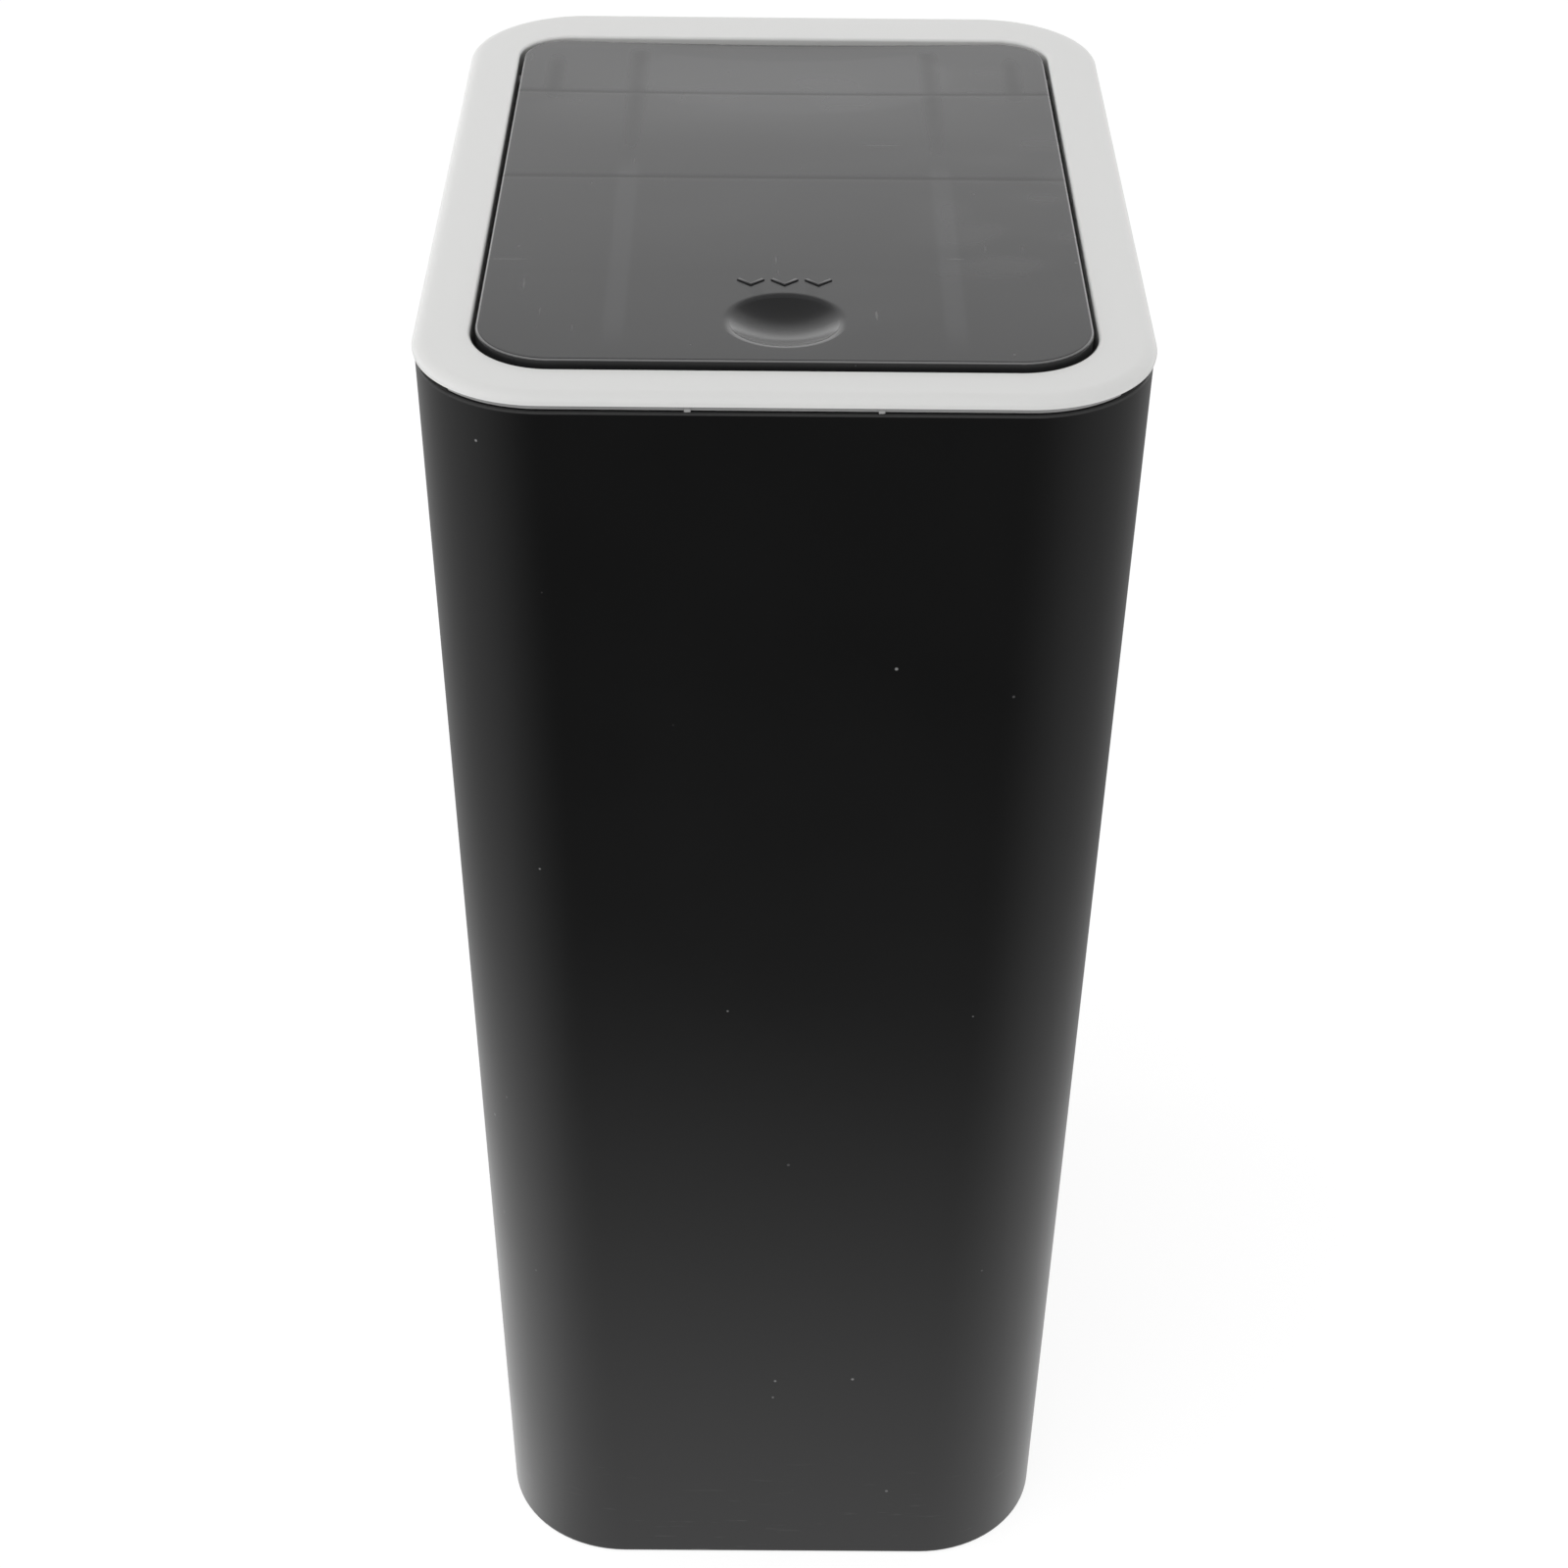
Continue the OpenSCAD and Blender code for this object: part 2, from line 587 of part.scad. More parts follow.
module latch_tongue() {
    web_h = 6;
    lead = 1;
    color(natural) at_lid() translate([0, press_y, 0]) difference() {
        union() {
            span([-seat_x, -seat_y, flange_low], [seat_x, seat_y, seat_z]);
            translate([0, tongue_y, 0]) rotate([90, 0, 0]) linear_extrude(2 * tongue_y)
                polygon([[-tongue_x, flange_low + eps], [tongue_x, flange_low + eps],
                         [tongue_x, tongue_low + lead], [tongue_x - lead, tongue_low],
                         [lead - tongue_x, tongue_low], [-tongue_x, tongue_low + lead]]);
            for (x = [-tongue_x, tongue_x - rib_t])
                translate([x, 0, 0]) rotate([90, 0, 90]) linear_extrude(rib_t)
                    polygon([[tongue_y - eps, flange_low + eps], [seat_y, flange_low + eps],
                             [tongue_y - eps, flange_low - web_h]]);
        }
        cam_track();
        for (s = [-1, 1])
            translate([s * tongue_screw_x, 0, flange_low - 1])
                cylinder(r = screw_r + screw_fit, h = flange_t + 2, $fn = small_fn);
    }
}

// A small pan-head screw, pointing down from the underside of its head at z = 0
module screw(length) {
    tip_h = 1;
    difference() {
        union() {
            cylinder(r = screw_head_r, h = screw_head_h, $fn = small_fn);
            translate([0, 0, -length + tip_h]) cylinder(r = screw_r, h = length - tip_h, $fn = small_fn);
            translate([0, 0, -length]) cylinder(r1 = screw_r / 3, r2 = screw_r, h = tip_h, $fn = small_fn);
        }
        for (a = [0, 90]) rotate([0, 0, a]) translate([0, 0, screw_head_h])
            cube([2 * screw_head_r * 0.6, 0.5, 1.2], center = true);
    }
}

module tongue_screws() {
    color(steel) at_lid() for (s = [-1, 1])
        translate([s * tongue_screw_x, press_y, flange_low]) mirror([0, 0, 1]) screw(tongue_screw_l);
}

module housing_screws() {
    color(steel) for (s = [-1, 1])
        translate([s * housing_screw_x, press_y, housing_top]) screw(housing_screw_l);
}

module latch_housing() {
    floor_top = catch_pivot_z - catch_r - 2 * latch_gap;
    out_x = housing_x + housing_t;
    ear_x = shelf_x - 2 * latch_gap;
    mouth = 0.8;
    color(natural) translate([0, press_y, 0]) difference() {
        union() {
            span([-out_x, housing_front - housing_t, floor_top - housing_t],
                 [out_x, housing_back + housing_t, housing_top]);
            span([-ear_x, housing_front - housing_t, shelf_top],
                 [ear_x, housing_back + housing_t, housing_top]);
        }
        span([-housing_x, housing_front, floor_top], [housing_x, housing_back, housing_top + 1]);
        translate([0, housing_back + 1, 0]) rotate([90, 0, 0])
            linear_extrude(housing_back - housing_front + 1)
                polygon([[-housing_x - mouth - 1, housing_top + 1], [housing_x + mouth + 1, housing_top + 1],
                         [housing_x - 1, housing_top - mouth - 1], [1 - housing_x, housing_top - mouth - 1]]);
        for (s = [-1, 1])
            translate([s * housing_screw_x, 0, shelf_top - 1])
                cylinder(r = screw_r + screw_fit, h = flange_t + 2, $fn = small_fn);
        translate([0, 0, catch_pivot_z])
            y_rod(catch_r + pin_fit, housing_front - housing_t - 1, housing_front + 1);
    }
}

// A wire with its foot turned into the housing's wall and its tip turned into the track
module latch_catch() {
    color(steel) translate([0, press_y + catch_y, 0]) {
        translate([0, 0, catch_pivot_z]) y_rod(catch_r, -catch_r - latch_gap - housing_t, 0);
        translate([0, 0, catch_pivot_z]) cylinder(r = catch_r, h = catch_l, $fn = small_fn);
        translate([0, 0, catch_tip_z]) y_rod(catch_r, 0, catch_r + latch_gap + tip_reach);
        for (z = [catch_pivot_z, catch_tip_z]) translate([0, 0, z]) sphere(catch_r, $fn = small_fn);
    }
}

bin_body();
rim_frame();
lid_panel();
hinge_pin(-1);  // hinge_pin_left
hinge_pin(1);  // hinge_pin_right
lid_spring(-1);  // lid_spring_left
lid_spring(1);  // lid_spring_right
latch_tongue();
tongue_screws();
latch_housing();
housing_screws();
latch_catch();
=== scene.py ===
"""A push top bin: its looks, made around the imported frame. Lengths are in metres."""

import math

import bmesh
import bpy
import numpy as np
from mathutils import Matrix, Vector


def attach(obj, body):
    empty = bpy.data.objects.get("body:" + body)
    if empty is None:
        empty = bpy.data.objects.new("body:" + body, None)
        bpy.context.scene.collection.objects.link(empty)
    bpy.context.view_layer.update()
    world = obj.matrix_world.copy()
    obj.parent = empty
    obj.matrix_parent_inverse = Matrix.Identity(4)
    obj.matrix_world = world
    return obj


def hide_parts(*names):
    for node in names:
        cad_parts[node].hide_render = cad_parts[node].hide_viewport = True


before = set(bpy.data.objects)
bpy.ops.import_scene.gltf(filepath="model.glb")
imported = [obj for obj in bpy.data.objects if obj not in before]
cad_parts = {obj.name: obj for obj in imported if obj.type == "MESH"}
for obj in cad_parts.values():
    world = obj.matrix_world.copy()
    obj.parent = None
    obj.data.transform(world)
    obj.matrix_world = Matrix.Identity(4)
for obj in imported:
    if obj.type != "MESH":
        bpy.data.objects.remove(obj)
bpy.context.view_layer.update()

bl_info = {
    "name": "Push top bin",
    "version": (1, 0, 0),
    "blender": (4, 5, 0),
    "location": "View3D > Sidebar > Bin",
    "description": "Builds the visible pieces of a push top bin and a plain studio",
    "category": "Object",
}

MM = 0.001
SOFT_EDGE = 0.2 * MM


# Shader expressions

class Value:
    """A socket in an expression: using an operator on it adds a Math node."""

    def __init__(self, look, socket):
        self.look = look
        self.socket = socket

    def _math(self, operation, *terms):
        return self.look.node("ShaderNodeMath", {"operation": operation}, dict(enumerate(terms)))

    def __add__(self, other):
        return self._math("ADD", self, other)

    __radd__ = __add__

    def __sub__(self, other):
        return self._math("SUBTRACT", self, other)

    def __rsub__(self, other):
        return self._math("SUBTRACT", other, self)

    def __mul__(self, other):
        return self._math("MULTIPLY", self, other)

    __rmul__ = __mul__

    def __abs__(self):
        return self._math("ABSOLUTE", self)

    def at_most(self, other):
        return self._math("MINIMUM", self, other)

    def at_least(self, other):
        return self._math("MAXIMUM", self, other)

    def distance_to(self, other):
        """Length of the vector that these two numbers make."""
        return self._math("SQRT", self * self + other * other)

    def angle_with(self, other):
        """Angle whose tangent is this number over the other."""
        return self._math("ARCTAN2", self, other)

    def ramp(self, low, high, start=0.0, end=1.0):
        """Maps low..high to start..end with a soft step."""
        return self.look.node(
            "ShaderNodeMapRange", {"interpolation_type": "SMOOTHSTEP"},
            {"Value": self, "From Min": low, "From Max": high, "To Min": start, "To Max": end})


class Graph:
    """A node tree that is written as expressions."""

    def __init__(self, tree):
        self.tree = tree
        self.tree.nodes.clear()

    def node(self, kind, settings=None, sockets=None, output=0):
        made = self.tree.nodes.new(kind)
        for name, setting in (settings or {}).items():
            setattr(made, name, setting)
        for key, value in (sockets or {}).items():
            socket = made.inputs[key]
            if isinstance(value, Value):
                self.tree.links.new(value.socket, socket)
            else:
                socket.default_value = value
        return Value(self, made.outputs[output] if len(made.outputs) else None)


class Look(Graph):
    """A material and the nodes that make it."""

    def __init__(self, name):
        self.material = bpy.data.materials.new(name)
        self.material.use_nodes = True
        super().__init__(self.material.node_tree)

    def place(self):
        """Object coordinates as a vector and as its three numbers."""
        vector = self.node("ShaderNodeTexCoord", output="Object")
        parts = self.node("ShaderNodeSeparateXYZ", sockets={0: vector})
        node = parts.socket.node
        return vector, *(Value(self, node.outputs[i]) for i in range(3))

    def noise(self, vector, scale, detail=2.0, rough=0.5, distortion=0.0):
        return self.node("ShaderNodeTexNoise", sockets={
            "Vector": vector, "Scale": scale, "Detail": detail, "Roughness": rough,
            "Distortion": distortion})

    def spots(self, vector, scale, size):
        """Small round specks, 1 in a speck and 0 elsewhere."""
        distance = self.node("ShaderNodeTexVoronoi", {"feature": "F1"}, {
            "Vector": vector, "Scale": scale, "Randomness": 1.0})
        return distance.ramp(size, size * 0.5)

    def stretched(self, vector, scale, turn=(0.0, 0.0, 0.0)):
        return self.node("ShaderNodeMapping", sockets={
            "Vector": vector, "Scale": scale, "Rotation": turn})

    def mix(self, factor, first, second):
        return self.node("ShaderNodeMix", {"data_type": "RGBA"}, {0: factor, 6: first, 7: second},
                         output=2)

    def bump(self, height, distance, strength=1.0, under=None):
        sockets = {"Height": height, "Distance": distance, "Strength": strength}
        if under is not None:
            sockets["Normal"] = under
        return self.node("ShaderNodeBump", sockets=sockets)

    def finish(self, sockets):
        shader = self.node("ShaderNodeBsdfPrincipled", sockets=sockets)
        self.node("ShaderNodeOutputMaterial", sockets={"Surface": shader})
        return self.material


def rgb(colour, gain=1.0):
    return tuple(min(c * gain, 1.0) for c in colour) + (1.0,)


def grey(level):
    return rgb((level, level, level))


# Finishes

def body_finish(colours, body):
    look = Look("satin_black_plastic")
    vector, _, _, z = look.place()
    cloud = look.noise(vector, 14.0, 3.0)
    grain = look.noise(vector, 2600.0, 2.0)
    dust = look.spots(vector, 95.0, 0.045) * look.noise(vector, 23.0, 1.0).ramp(0.5, 0.62)
    scuff = look.noise(look.stretched(vector, (30.0, 30.0, 420.0)), 3.0, 3.0).ramp(0.66, 0.78)
    low_scuff = scuff * z.ramp(0.05, 0.0)
    base = look.mix(cloud, rgb(colours.body, 0.85), rgb(colours.body, 1.15))
    # Painted highlight: a thin lighter line along the body's top edge stands in for the glint of the
    # overhead light.
    painted_top_highlight = z.ramp(body.height - 0.6 * MM, body.height - 0.3 * MM)
    base = look.mix((dust * 0.5).at_least(low_scuff * 0.1), base, grey(0.42))
    base = look.mix(painted_top_highlight, base, grey(0.04))
    rough = cloud.ramp(0.3, 0.7, 0.30, 0.34) + dust * 0.3
    normal = look.bump(grain, 0.012 * MM, 0.6, look.bump(cloud, 0.25 * MM, 0.35))
    return look.finish({"Base Color": base, "Roughness": rough, "Normal": normal, "IOR": 1.46})


def rim_finish(colours, rim):
    look = Look("off_white_plastic")
    vector, x, y, z = look.place()
    cloud = look.noise(vector, 11.0, 2.0)
    grain = look.noise(vector, 2200.0, 2.0)
    speck = look.spots(vector, 60.0, 0.03) * look.noise(vector, 17.0, 1.0).ramp(0.55, 0.65)
    base = look.mix(cloud, rgb(colours.rim, 0.985), rgb(colours.rim, 1.015))
    base = look.mix(speck * 0.35, base, rgb((0.3, 0.29, 0.27)))
    lip, low = rim.top - rim.lip, rim.top - rim.lip - rim.reveal
    # Painted shade: the band and plug just under the lip, near the outside, are darkened to grey as if
    # in the lip's shadow.
    shaded = z.ramp(lip + 0.05 * MM, lip - 0.05 * MM) * z.ramp(low, lip - 0.2 * MM, 0.55, 1.0)
    inside = inside_edge(x, y, rim.width, -rim.depth / 2, rim.depth / 2, rim.corner)
    shaded = shaded * z.ramp(low - MM, low) * inside.ramp(rim.plug_in, 0.8 * rim.plug_in)
    base = look.mix(shaded, base, grey(0.27))
    rough = cloud.ramp(0.3, 0.7, 0.32, 0.38)
    normal = look.bump(grain, 0.008 * MM, 0.5, look.bump(cloud, 0.2 * MM, 0.3))
    return look.finish({"Base Color": base, "Roughness": rough, "Normal": normal, "IOR": 1.48})


def inside_edge(x, y, width, front, back, corner):
    """Distance in from the outline of a rounded rectangle, up to its corner radius."""
    middle, half = (front + back) / 2, (back - front) / 2
    across = (abs(x) - (width / 2 - corner)).at_least(0.0)
    along = (abs(y - middle) - (half - corner)).at_least(0.0)
    return corner - across.distance_to(along)


def dimple_radii(lid):
    """Radii of the dimple where its bowl meets the rounding, and where that meets the top."""
    reach = lid.bowl + lid.shoulder
    mouth = math.sqrt(reach ** 2 - (reach - lid.bowl_depth) ** 2)
    return mouth * lid.bowl / reach, mouth


def rib_marks_and_painted_shading(lid, hinge, x, y):
    """Marks that ribs and hinge arms leave on the lid's top: painted light bands and painted dark bands
    for how their sink marks catch the light, and their depth.
    """
    side, last = abs(x), lid.cross_mid + lid.cross_pitch
    long = abs(side - lid.rib_x)
    arm = abs(side - hinge.arm_x - hinge.arm / 2)
    cross = abs(y - lid.cross_mid)
    for shift in (-lid.cross_pitch, lid.cross_pitch):
        cross = cross.at_most(abs(y - (lid.cross_mid + shift)))

    in_front = y.ramp(-86 * MM, -70 * MM) * y.ramp(14 * MM, 4 * MM)
    behind = y.ramp(12 * MM, last, 0.25, 0.8) * y.ramp(10 * MM, 20 * MM) * y.ramp(80 * MM, 76 * MM)
    at_arms = y.ramp(44 * MM, 54 * MM) * y.ramp(78 * MM, 66 * MM)
    faint = y.ramp(-50 * MM, -30 * MM, 0.1, 1.0)

    # Painted light and shade: these light and dark bands stand in for how the sink marks catch the
    # light; only the depth is shape.
    light = long.ramp(3.0 * MM, 1.4 * MM) * in_front * 0.6
    dark = (long.ramp(3.4 * MM, 0.0) * behind * 0.5).at_least(arm.ramp(3.2 * MM, 0.0) * at_arms * 0.4)
    dark = dark.at_least(cross.ramp(1.2 * MM, 0.2 * MM) * faint * 0.7)
    depth = (long.ramp(5 * MM, 0.0) * in_front * 0.2).at_least(cross.ramp(2.2 * MM, 0.0) * faint * 0.35)
    return light, dark, depth


def painted_reflection_zone(x, y):
    """Painted reflection: a lighter zone at the back of the lid, between two arcs, for the backdrop
    mirrored in the dished lid.
    """
    middle_x, middle_y, radius, flatten, hollow = 2 * MM, 62 * MM, 25 * MM, 0.63, 5.2
    zone = ((x - middle_x) * flatten).distance_to(y - middle_y).ramp(radius, 0.9 * radius)
    return zone * (y - x * x * hollow).ramp(73.5 * MM, 71.5 * MM)


def dimple_painted_shading(lid, x, y, height):
    """Painted light and shade of the dimple: a painted highlight on its near wall, painted shade on its
    far wall and a painted light band on its near rounding.
    """
    join, mouth = dimple_radii(lid)
    low = lid.top - lid.bowl_depth
    ahead, radius = lid.press - y, x.distance_to(y - lid.press)
    bowl = radius.ramp(join, join - 0.3 * MM) * height.ramp(low - 0.6 * MM, low - 0.1 * MM)
    band = radius.ramp(join + 0.2 * MM, join + 0.5 * MM) * radius.ramp(mouth + 0.2 * MM, mouth)
    near = ahead.ramp(-3.7 * MM, join) * bowl
    far = y.ramp(lid.press, lid.press + 6 * MM) * bowl
    return near, far, band * ahead.ramp(2 * MM, 9 * MM)


def wear_marks(look, vector, x, y):
    """Wear on the lid's top: thin marks (scratches, short dashes and dust) and smudges."""
    smear = look.stretched(vector, (55.0, 90.0, 55.0), (0.0, 0.0, 0.5))
    at_right = x.ramp(20 * MM, 50 * MM) * abs(y + 12 * MM).ramp(50 * MM, 20 * MM)
    smudge = look.noise(smear, 1.0, 0.0).ramp(0.46, 0.78)
    smudge = smudge * at_right.at_least(y.ramp(30 * MM, 50 * MM) * 0.6)
    scratch = look.noise(look.stretched(vector, (700.0, 45.0, 45.0), (0.0, 0.0, 0.35)), 1.0, 2.0)
    scratch = scratch.ramp(0.735, 0.775) * look.noise(vector, 30.0, 1.0).ramp(0.5, 0.62)
    dash = look.noise(look.stretched(vector, (60.0, 620.0, 60.0), (0.0, 0.0, -0.06)), 1.0, 1.0)
    dash = dash.ramp(0.775, 0.80) * look.noise(vector, 26.0, 1.0).ramp(0.5, 0.58)
    dust = look.spots(vector, 120.0, 0.05) * look.noise(vector, 35.0, 1.0).ramp(0.52, 0.62)
    return dust.at_least(scratch).at_least(dash * 0.8), smudge


def painted_edge_highlight(lid, x, y):
    """Painted highlight: a thin light line on the rounding of the lid's edge, which fades at the back.
    """
    inside = inside_edge(x, y, lid.width, lid.front, lid.back, lid.corner)
    line = inside.ramp(0.55 * MM, 0.4 * MM) * inside.ramp(0.1 * MM, 0.25 * MM)
    return line * y.ramp(74 * MM, 66 * MM)


def lid_finish(colours, lid, hinge):
    look = Look("dark_grey_plastic")
    vector, x, y, z = look.place()
    height = z - (hinge.y - y) * math.tan(hinge.rise)
    on_top = height.ramp(lid.top - 0.9 * lid.thick, lid.top - 0.7 * lid.thick)
    light, dark, depth = rib_marks_and_painted_shading(lid, hinge, x, y)
    near, far, band = dimple_painted_shading(lid, x, y, height)
    marks, smudge = wear_marks(look, vector, x, y)
    marks, smudge, dark = marks * on_top, smudge * on_top, dark * on_top
    patch = look.noise(look.stretched(vector, (11.0, 19.0, 11.0)), 1.0, 2.0, 0.5, 0.5)
    # Painted sheen: the light mask also takes lighter noise patches and the painted reflection zone at
    # the back.
    light = light.at_least(patch.ramp(0.50, 0.70) * 0.25).at_least(painted_reflection_zone(x, y) * 0.5)

    # Painted light and shade: the light mask lightens the lid's colour, while the sink marks' dark mask
    # and the dimple's far wall darken it.
    base = look.mix(light * on_top, rgb(colours.lid), rgb(colours.lid, 2.6))
    base = look.mix(dark.at_least(far * 0.6), base, rgb(colours.lid, 0.1))
    base = look.mix((marks * 0.3).at_least(smudge * 0.06), base, grey(0.4))
    # Painted highlight on the dimple's near wall.
    base = look.mix(near, base, grey(0.25))
    # Painted highlights: the line along the lid's edge and the band on the dimple's near rounding.
    base = look.mix(painted_edge_highlight(lid, x, y).at_least(band * on_top * 0.5), base, grey(0.2))
    rough = 0.26 + marks * 0.2 + smudge * 0.03 + dark * 0.12 - near * 0.12
    wave = look.noise(vector, 16.0, 1.0, 0.4)
    peel = look.noise(vector, 620.0, 1.0)
    normal = look.bump(0.0 - depth * on_top, 0.035 * MM, 1.0, look.bump(wave, 0.4 * MM, 0.4))
    normal = look.bump(peel, 0.006 * MM, 0.5, normal)
    return look.finish({"Base Color": base, "Roughness": rough, "Normal": normal, "IOR": 1.5})


def latch_finish(colours):
    look = Look("natural_acetal")
    vector, _, _, _ = look.place()
    cloud = look.noise(vector, 90.0, 2.0)
    grain = look.noise(vector, 3000.0, 2.0)
    base = look.mix(cloud, rgb(colours.latch, 0.95), rgb(colours.latch, 1.03))
    rough = cloud.ramp(0.3, 0.7, 0.32, 0.42)
    normal = look.bump(grain, 0.008 * MM, 0.6)
    return look.finish({
        "Base Color": base, "Roughness": rough, "Normal": normal, "IOR": 1.48,
        "Subsurface Weight": 0.3, "Subsurface Scale": 1.2 * MM, "Subsurface Radius": (1.0, 0.95, 0.8)})


def steel_finish(colours):
    look = Look("plated_steel")
    vector, _, _, _ = look.place()
    streak = look.noise(look.stretched(vector, (160.0, 2600.0, 2600.0)), 1.0, 3.0)
    cloud = look.noise(vector, 240.0, 2.0)
    base = look.mix(cloud, rgb(colours.steel, 0.88), rgb(colours.steel, 1.05))
    rough = streak.ramp(0.3, 0.7, 0.24, 0.38)
    normal = look.bump(streak, 0.01 * MM, 0.5)
    return look.finish({"Base Color": base, "Roughness": rough, "Normal": normal, "Metallic": 1.0})


# Shapes

def outline(width, depth, corner, back_corner=None, arc=12, runs=(1, 1)):
    """Points round a rounded rectangle, counter-clockwise from its front right corner."""
    back = corner if back_corner is None else back_corner
    arcs = []
    for i, (sx, sy, r) in enumerate(((1, -1, corner), (1, 1, back), (-1, 1, back), (-1, -1, corner))):
        turn = np.radians(90.0 * (i - 1) + np.linspace(0.0, 90.0, arc + 1))
        centre = np.array((sx * (width / 2 - r), sy * (depth / 2 - r)))
        arcs.append(centre + r * np.column_stack((np.cos(turn), np.sin(turn))))
    points = []
    for i, bend in enumerate(arcs):
        here, there = bend[-1], arcs[(i + 1) % 4][0]
        points.extend(bend)
        points.extend(here + (there - here) * k / runs[i % 2] for k in range(1, runs[i % 2]))
    return np.array(points)


def at_height(points, z):
    return np.column_stack((points, np.full(len(points), z)))


def loft(rings, closed=False):
    """A mesh through rings of the same number of points, in a bmesh of its own."""
    shape = bmesh.new()
    rows = [[shape.verts.new(p) for p in ring] for ring in rings]
    count = len(rows[0])
    pairs = list(zip(rows, rows[1:]))
    if closed:
        pairs.append((rows[-1], rows[0]))
    for low, high in pairs:
        for i in range(count):
            j = (i + 1) % count
            shape.faces.new((low[i], low[j], high[j], high[i]))
    if not closed:
        for row in (rows[0], rows[-1]):
            middle = shape.verts.new(np.mean([v.co for v in row], axis=0))
            for i in range(count):
                shape.faces.new((row[i], row[(i + 1) % count], middle))
    bmesh.ops.recalc_face_normals(shape, faces=shape.faces)
    return shape


def rounded(shape, edges, width):
    """Rounds some edges of a shape."""
    bmesh.ops.bevel(shape, geom=edges, offset=width, segments=2, profile=0.5, affect="EDGES")
    return shape


def block(low, high):
    """A box between two corners with softened edges."""
    shape = bmesh.new()
    bmesh.ops.create_cube(shape, size=1.0)
    low, high = Vector(low), Vector(high)
    bmesh.ops.scale(shape, vec=high - low, verts=shape.verts)
    bmesh.ops.translate(shape, vec=(low + high) / 2, verts=shape.verts)
    return rounded(shape, list(shape.edges), SOFT_EDGE)


def slab(points, start, end, round_by=SOFT_EDGE):
    """A flat shape with its points in YZ, pushed along X."""
    shape = bmesh.new()
    near = [shape.verts.new((start, *p)) for p in points]
    far = [shape.verts.new((end, *p)) for p in points]
    shape.faces.new(near)
    shape.faces.new(far)
    for i in range(len(points)):
        j = (i + 1) % len(points)
        shape.faces.new((near[i], near[j], far[j], far[i]))
    bmesh.ops.recalc_face_normals(shape, faces=shape.faces)
    rims = [e for e in shape.edges if e.calc_face_angle(0.0) > math.radians(35.0)]
    return rounded(shape, rims, round_by) if round_by else shape


def arc_points(y, z, radius, start, end, steps):
    turn = np.radians(np.linspace(start, end, steps + 1))
    return [(y + radius * math.cos(a), z + radius * math.sin(a)) for a in turn]


def mirrored(shapes, scale=(-1, 1, 1)):
    """Copies of shapes on the other side of X = 0, or of Y = 0, with their faces outwards."""
    copies = []
    for shape in shapes:
        copy = shape.copy()
        bmesh.ops.scale(copy, vec=scale, verts=copy.verts)
        bmesh.ops.reverse_faces(copy, faces=copy.faces)
        copies.append(copy)
    return copies


def piece(name, shapes, finish):
    """One object from several shapes, shaded smooth."""
    parts = []
    for shape in shapes:
        parts.append(bpy.data.meshes.new("part"))
        shape.to_mesh(parts[-1])
        shape.free()
    return smoothed(merged(name, parts, finish))


def joined(name, objects, finish):
    """One object from several."""
    parts = [made.data for made in objects]
    for made in objects:
        bpy.data.objects.remove(made)
    return merged(name, parts, finish)


def merged(name, parts, finish):
    """One object from several meshes, which are used up."""
    whole = bmesh.new()
    for part in parts:
        whole.from_mesh(part)
        bpy.data.meshes.remove(part)
    mesh = bpy.data.meshes.new(name)
    whole.to_mesh(mesh)
    whole.free()
    mesh.materials.append(finish)
    made = bpy.data.objects.new(name, mesh)
    bpy.context.collection.objects.link(made)
    return made


def smoothed(made, sharp=35.0):
    """Shades a piece smooth, except where faces meet at more than the sharp angle."""
    mesh = made.data
    mesh.polygons.foreach_set("use_smooth", [True] * len(mesh.polygons))
    mesh.set_sharp_from_angle(angle=math.radians(sharp))
    return even_normals(made)


def even_normals(made):
    even = made.modifiers.new("even_normals", "WEIGHTED_NORMAL")
    even.keep_sharp = True
    return made


def round_edge(radius, steps, rise=None):
    """Offsets of a quarter round: inwards from the side, and down from the top."""
    rise = radius if rise is None else rise
    turn = np.radians(np.linspace(0.0, 90.0, steps + 1))
    return [(radius * (1 - math.sin(a)), rise * (1 - math.cos(a))) for a in turn]


# Growing of what repeats or follows a path

class Recipe(Graph):
    """A Geometry Nodes tree with named inputs."""

    def __init__(self, name, inputs):
        super().__init__(bpy.data.node_groups.new(name, "GeometryNodeTree"))
        self.tree.is_modifier = True
        face = self.tree.interface
        face.new_socket("Geometry", in_out="INPUT", socket_type="NodeSocketGeometry")
        self.sockets = {label: face.new_socket(label, in_out="INPUT", socket_type=f"NodeSocket{kind}")
                        for label, kind in inputs.items()}
        face.new_socket("Geometry", in_out="OUTPUT", socket_type="NodeSocketGeometry")
        entry = self.tree.nodes.new("NodeGroupInput")
        self.start = Value(self, entry.outputs["Geometry"])
        self.given = {label: Value(self, entry.outputs[label]) for label in self.sockets}

    def close(self, geometry):
        """Ends a tree that grows a piece: real geometry in the given finish."""
        real = self.node("GeometryNodeRealizeInstances", sockets={"Geometry": geometry})
        done = self.node("GeometryNodeSetMaterial", sockets={
            "Geometry": real, "Material": self.given["Finish"]})
        self.node("NodeGroupOutput", sockets={0: done})
        return self

    def grow(self, name, finish, settings, mesh=None):
        """A piece whose plain mesh this tree grew from a starting mesh."""
        made = bpy.data.objects.new(name, mesh or bpy.data.meshes.new(name))
        growth = made.modifiers.new(self.tree.name, "NODES")
        growth.node_group = self.tree
        for label, value in {**settings, "Finish": finish}.items():
            growth[self.sockets[label].identifier] = value
        bpy.context.collection.objects.link(made)
        ready = made.evaluated_get(bpy.context.evaluated_depsgraph_get())
        plain = bpy.data.meshes.new_from_object(ready)
        plain.materials.clear()
        plain.materials.append(finish)
        plain.polygons.foreach_set("material_index", [0] * len(plain.polygons))
        made.modifiers.remove(growth)
        made.data = plain
        return made


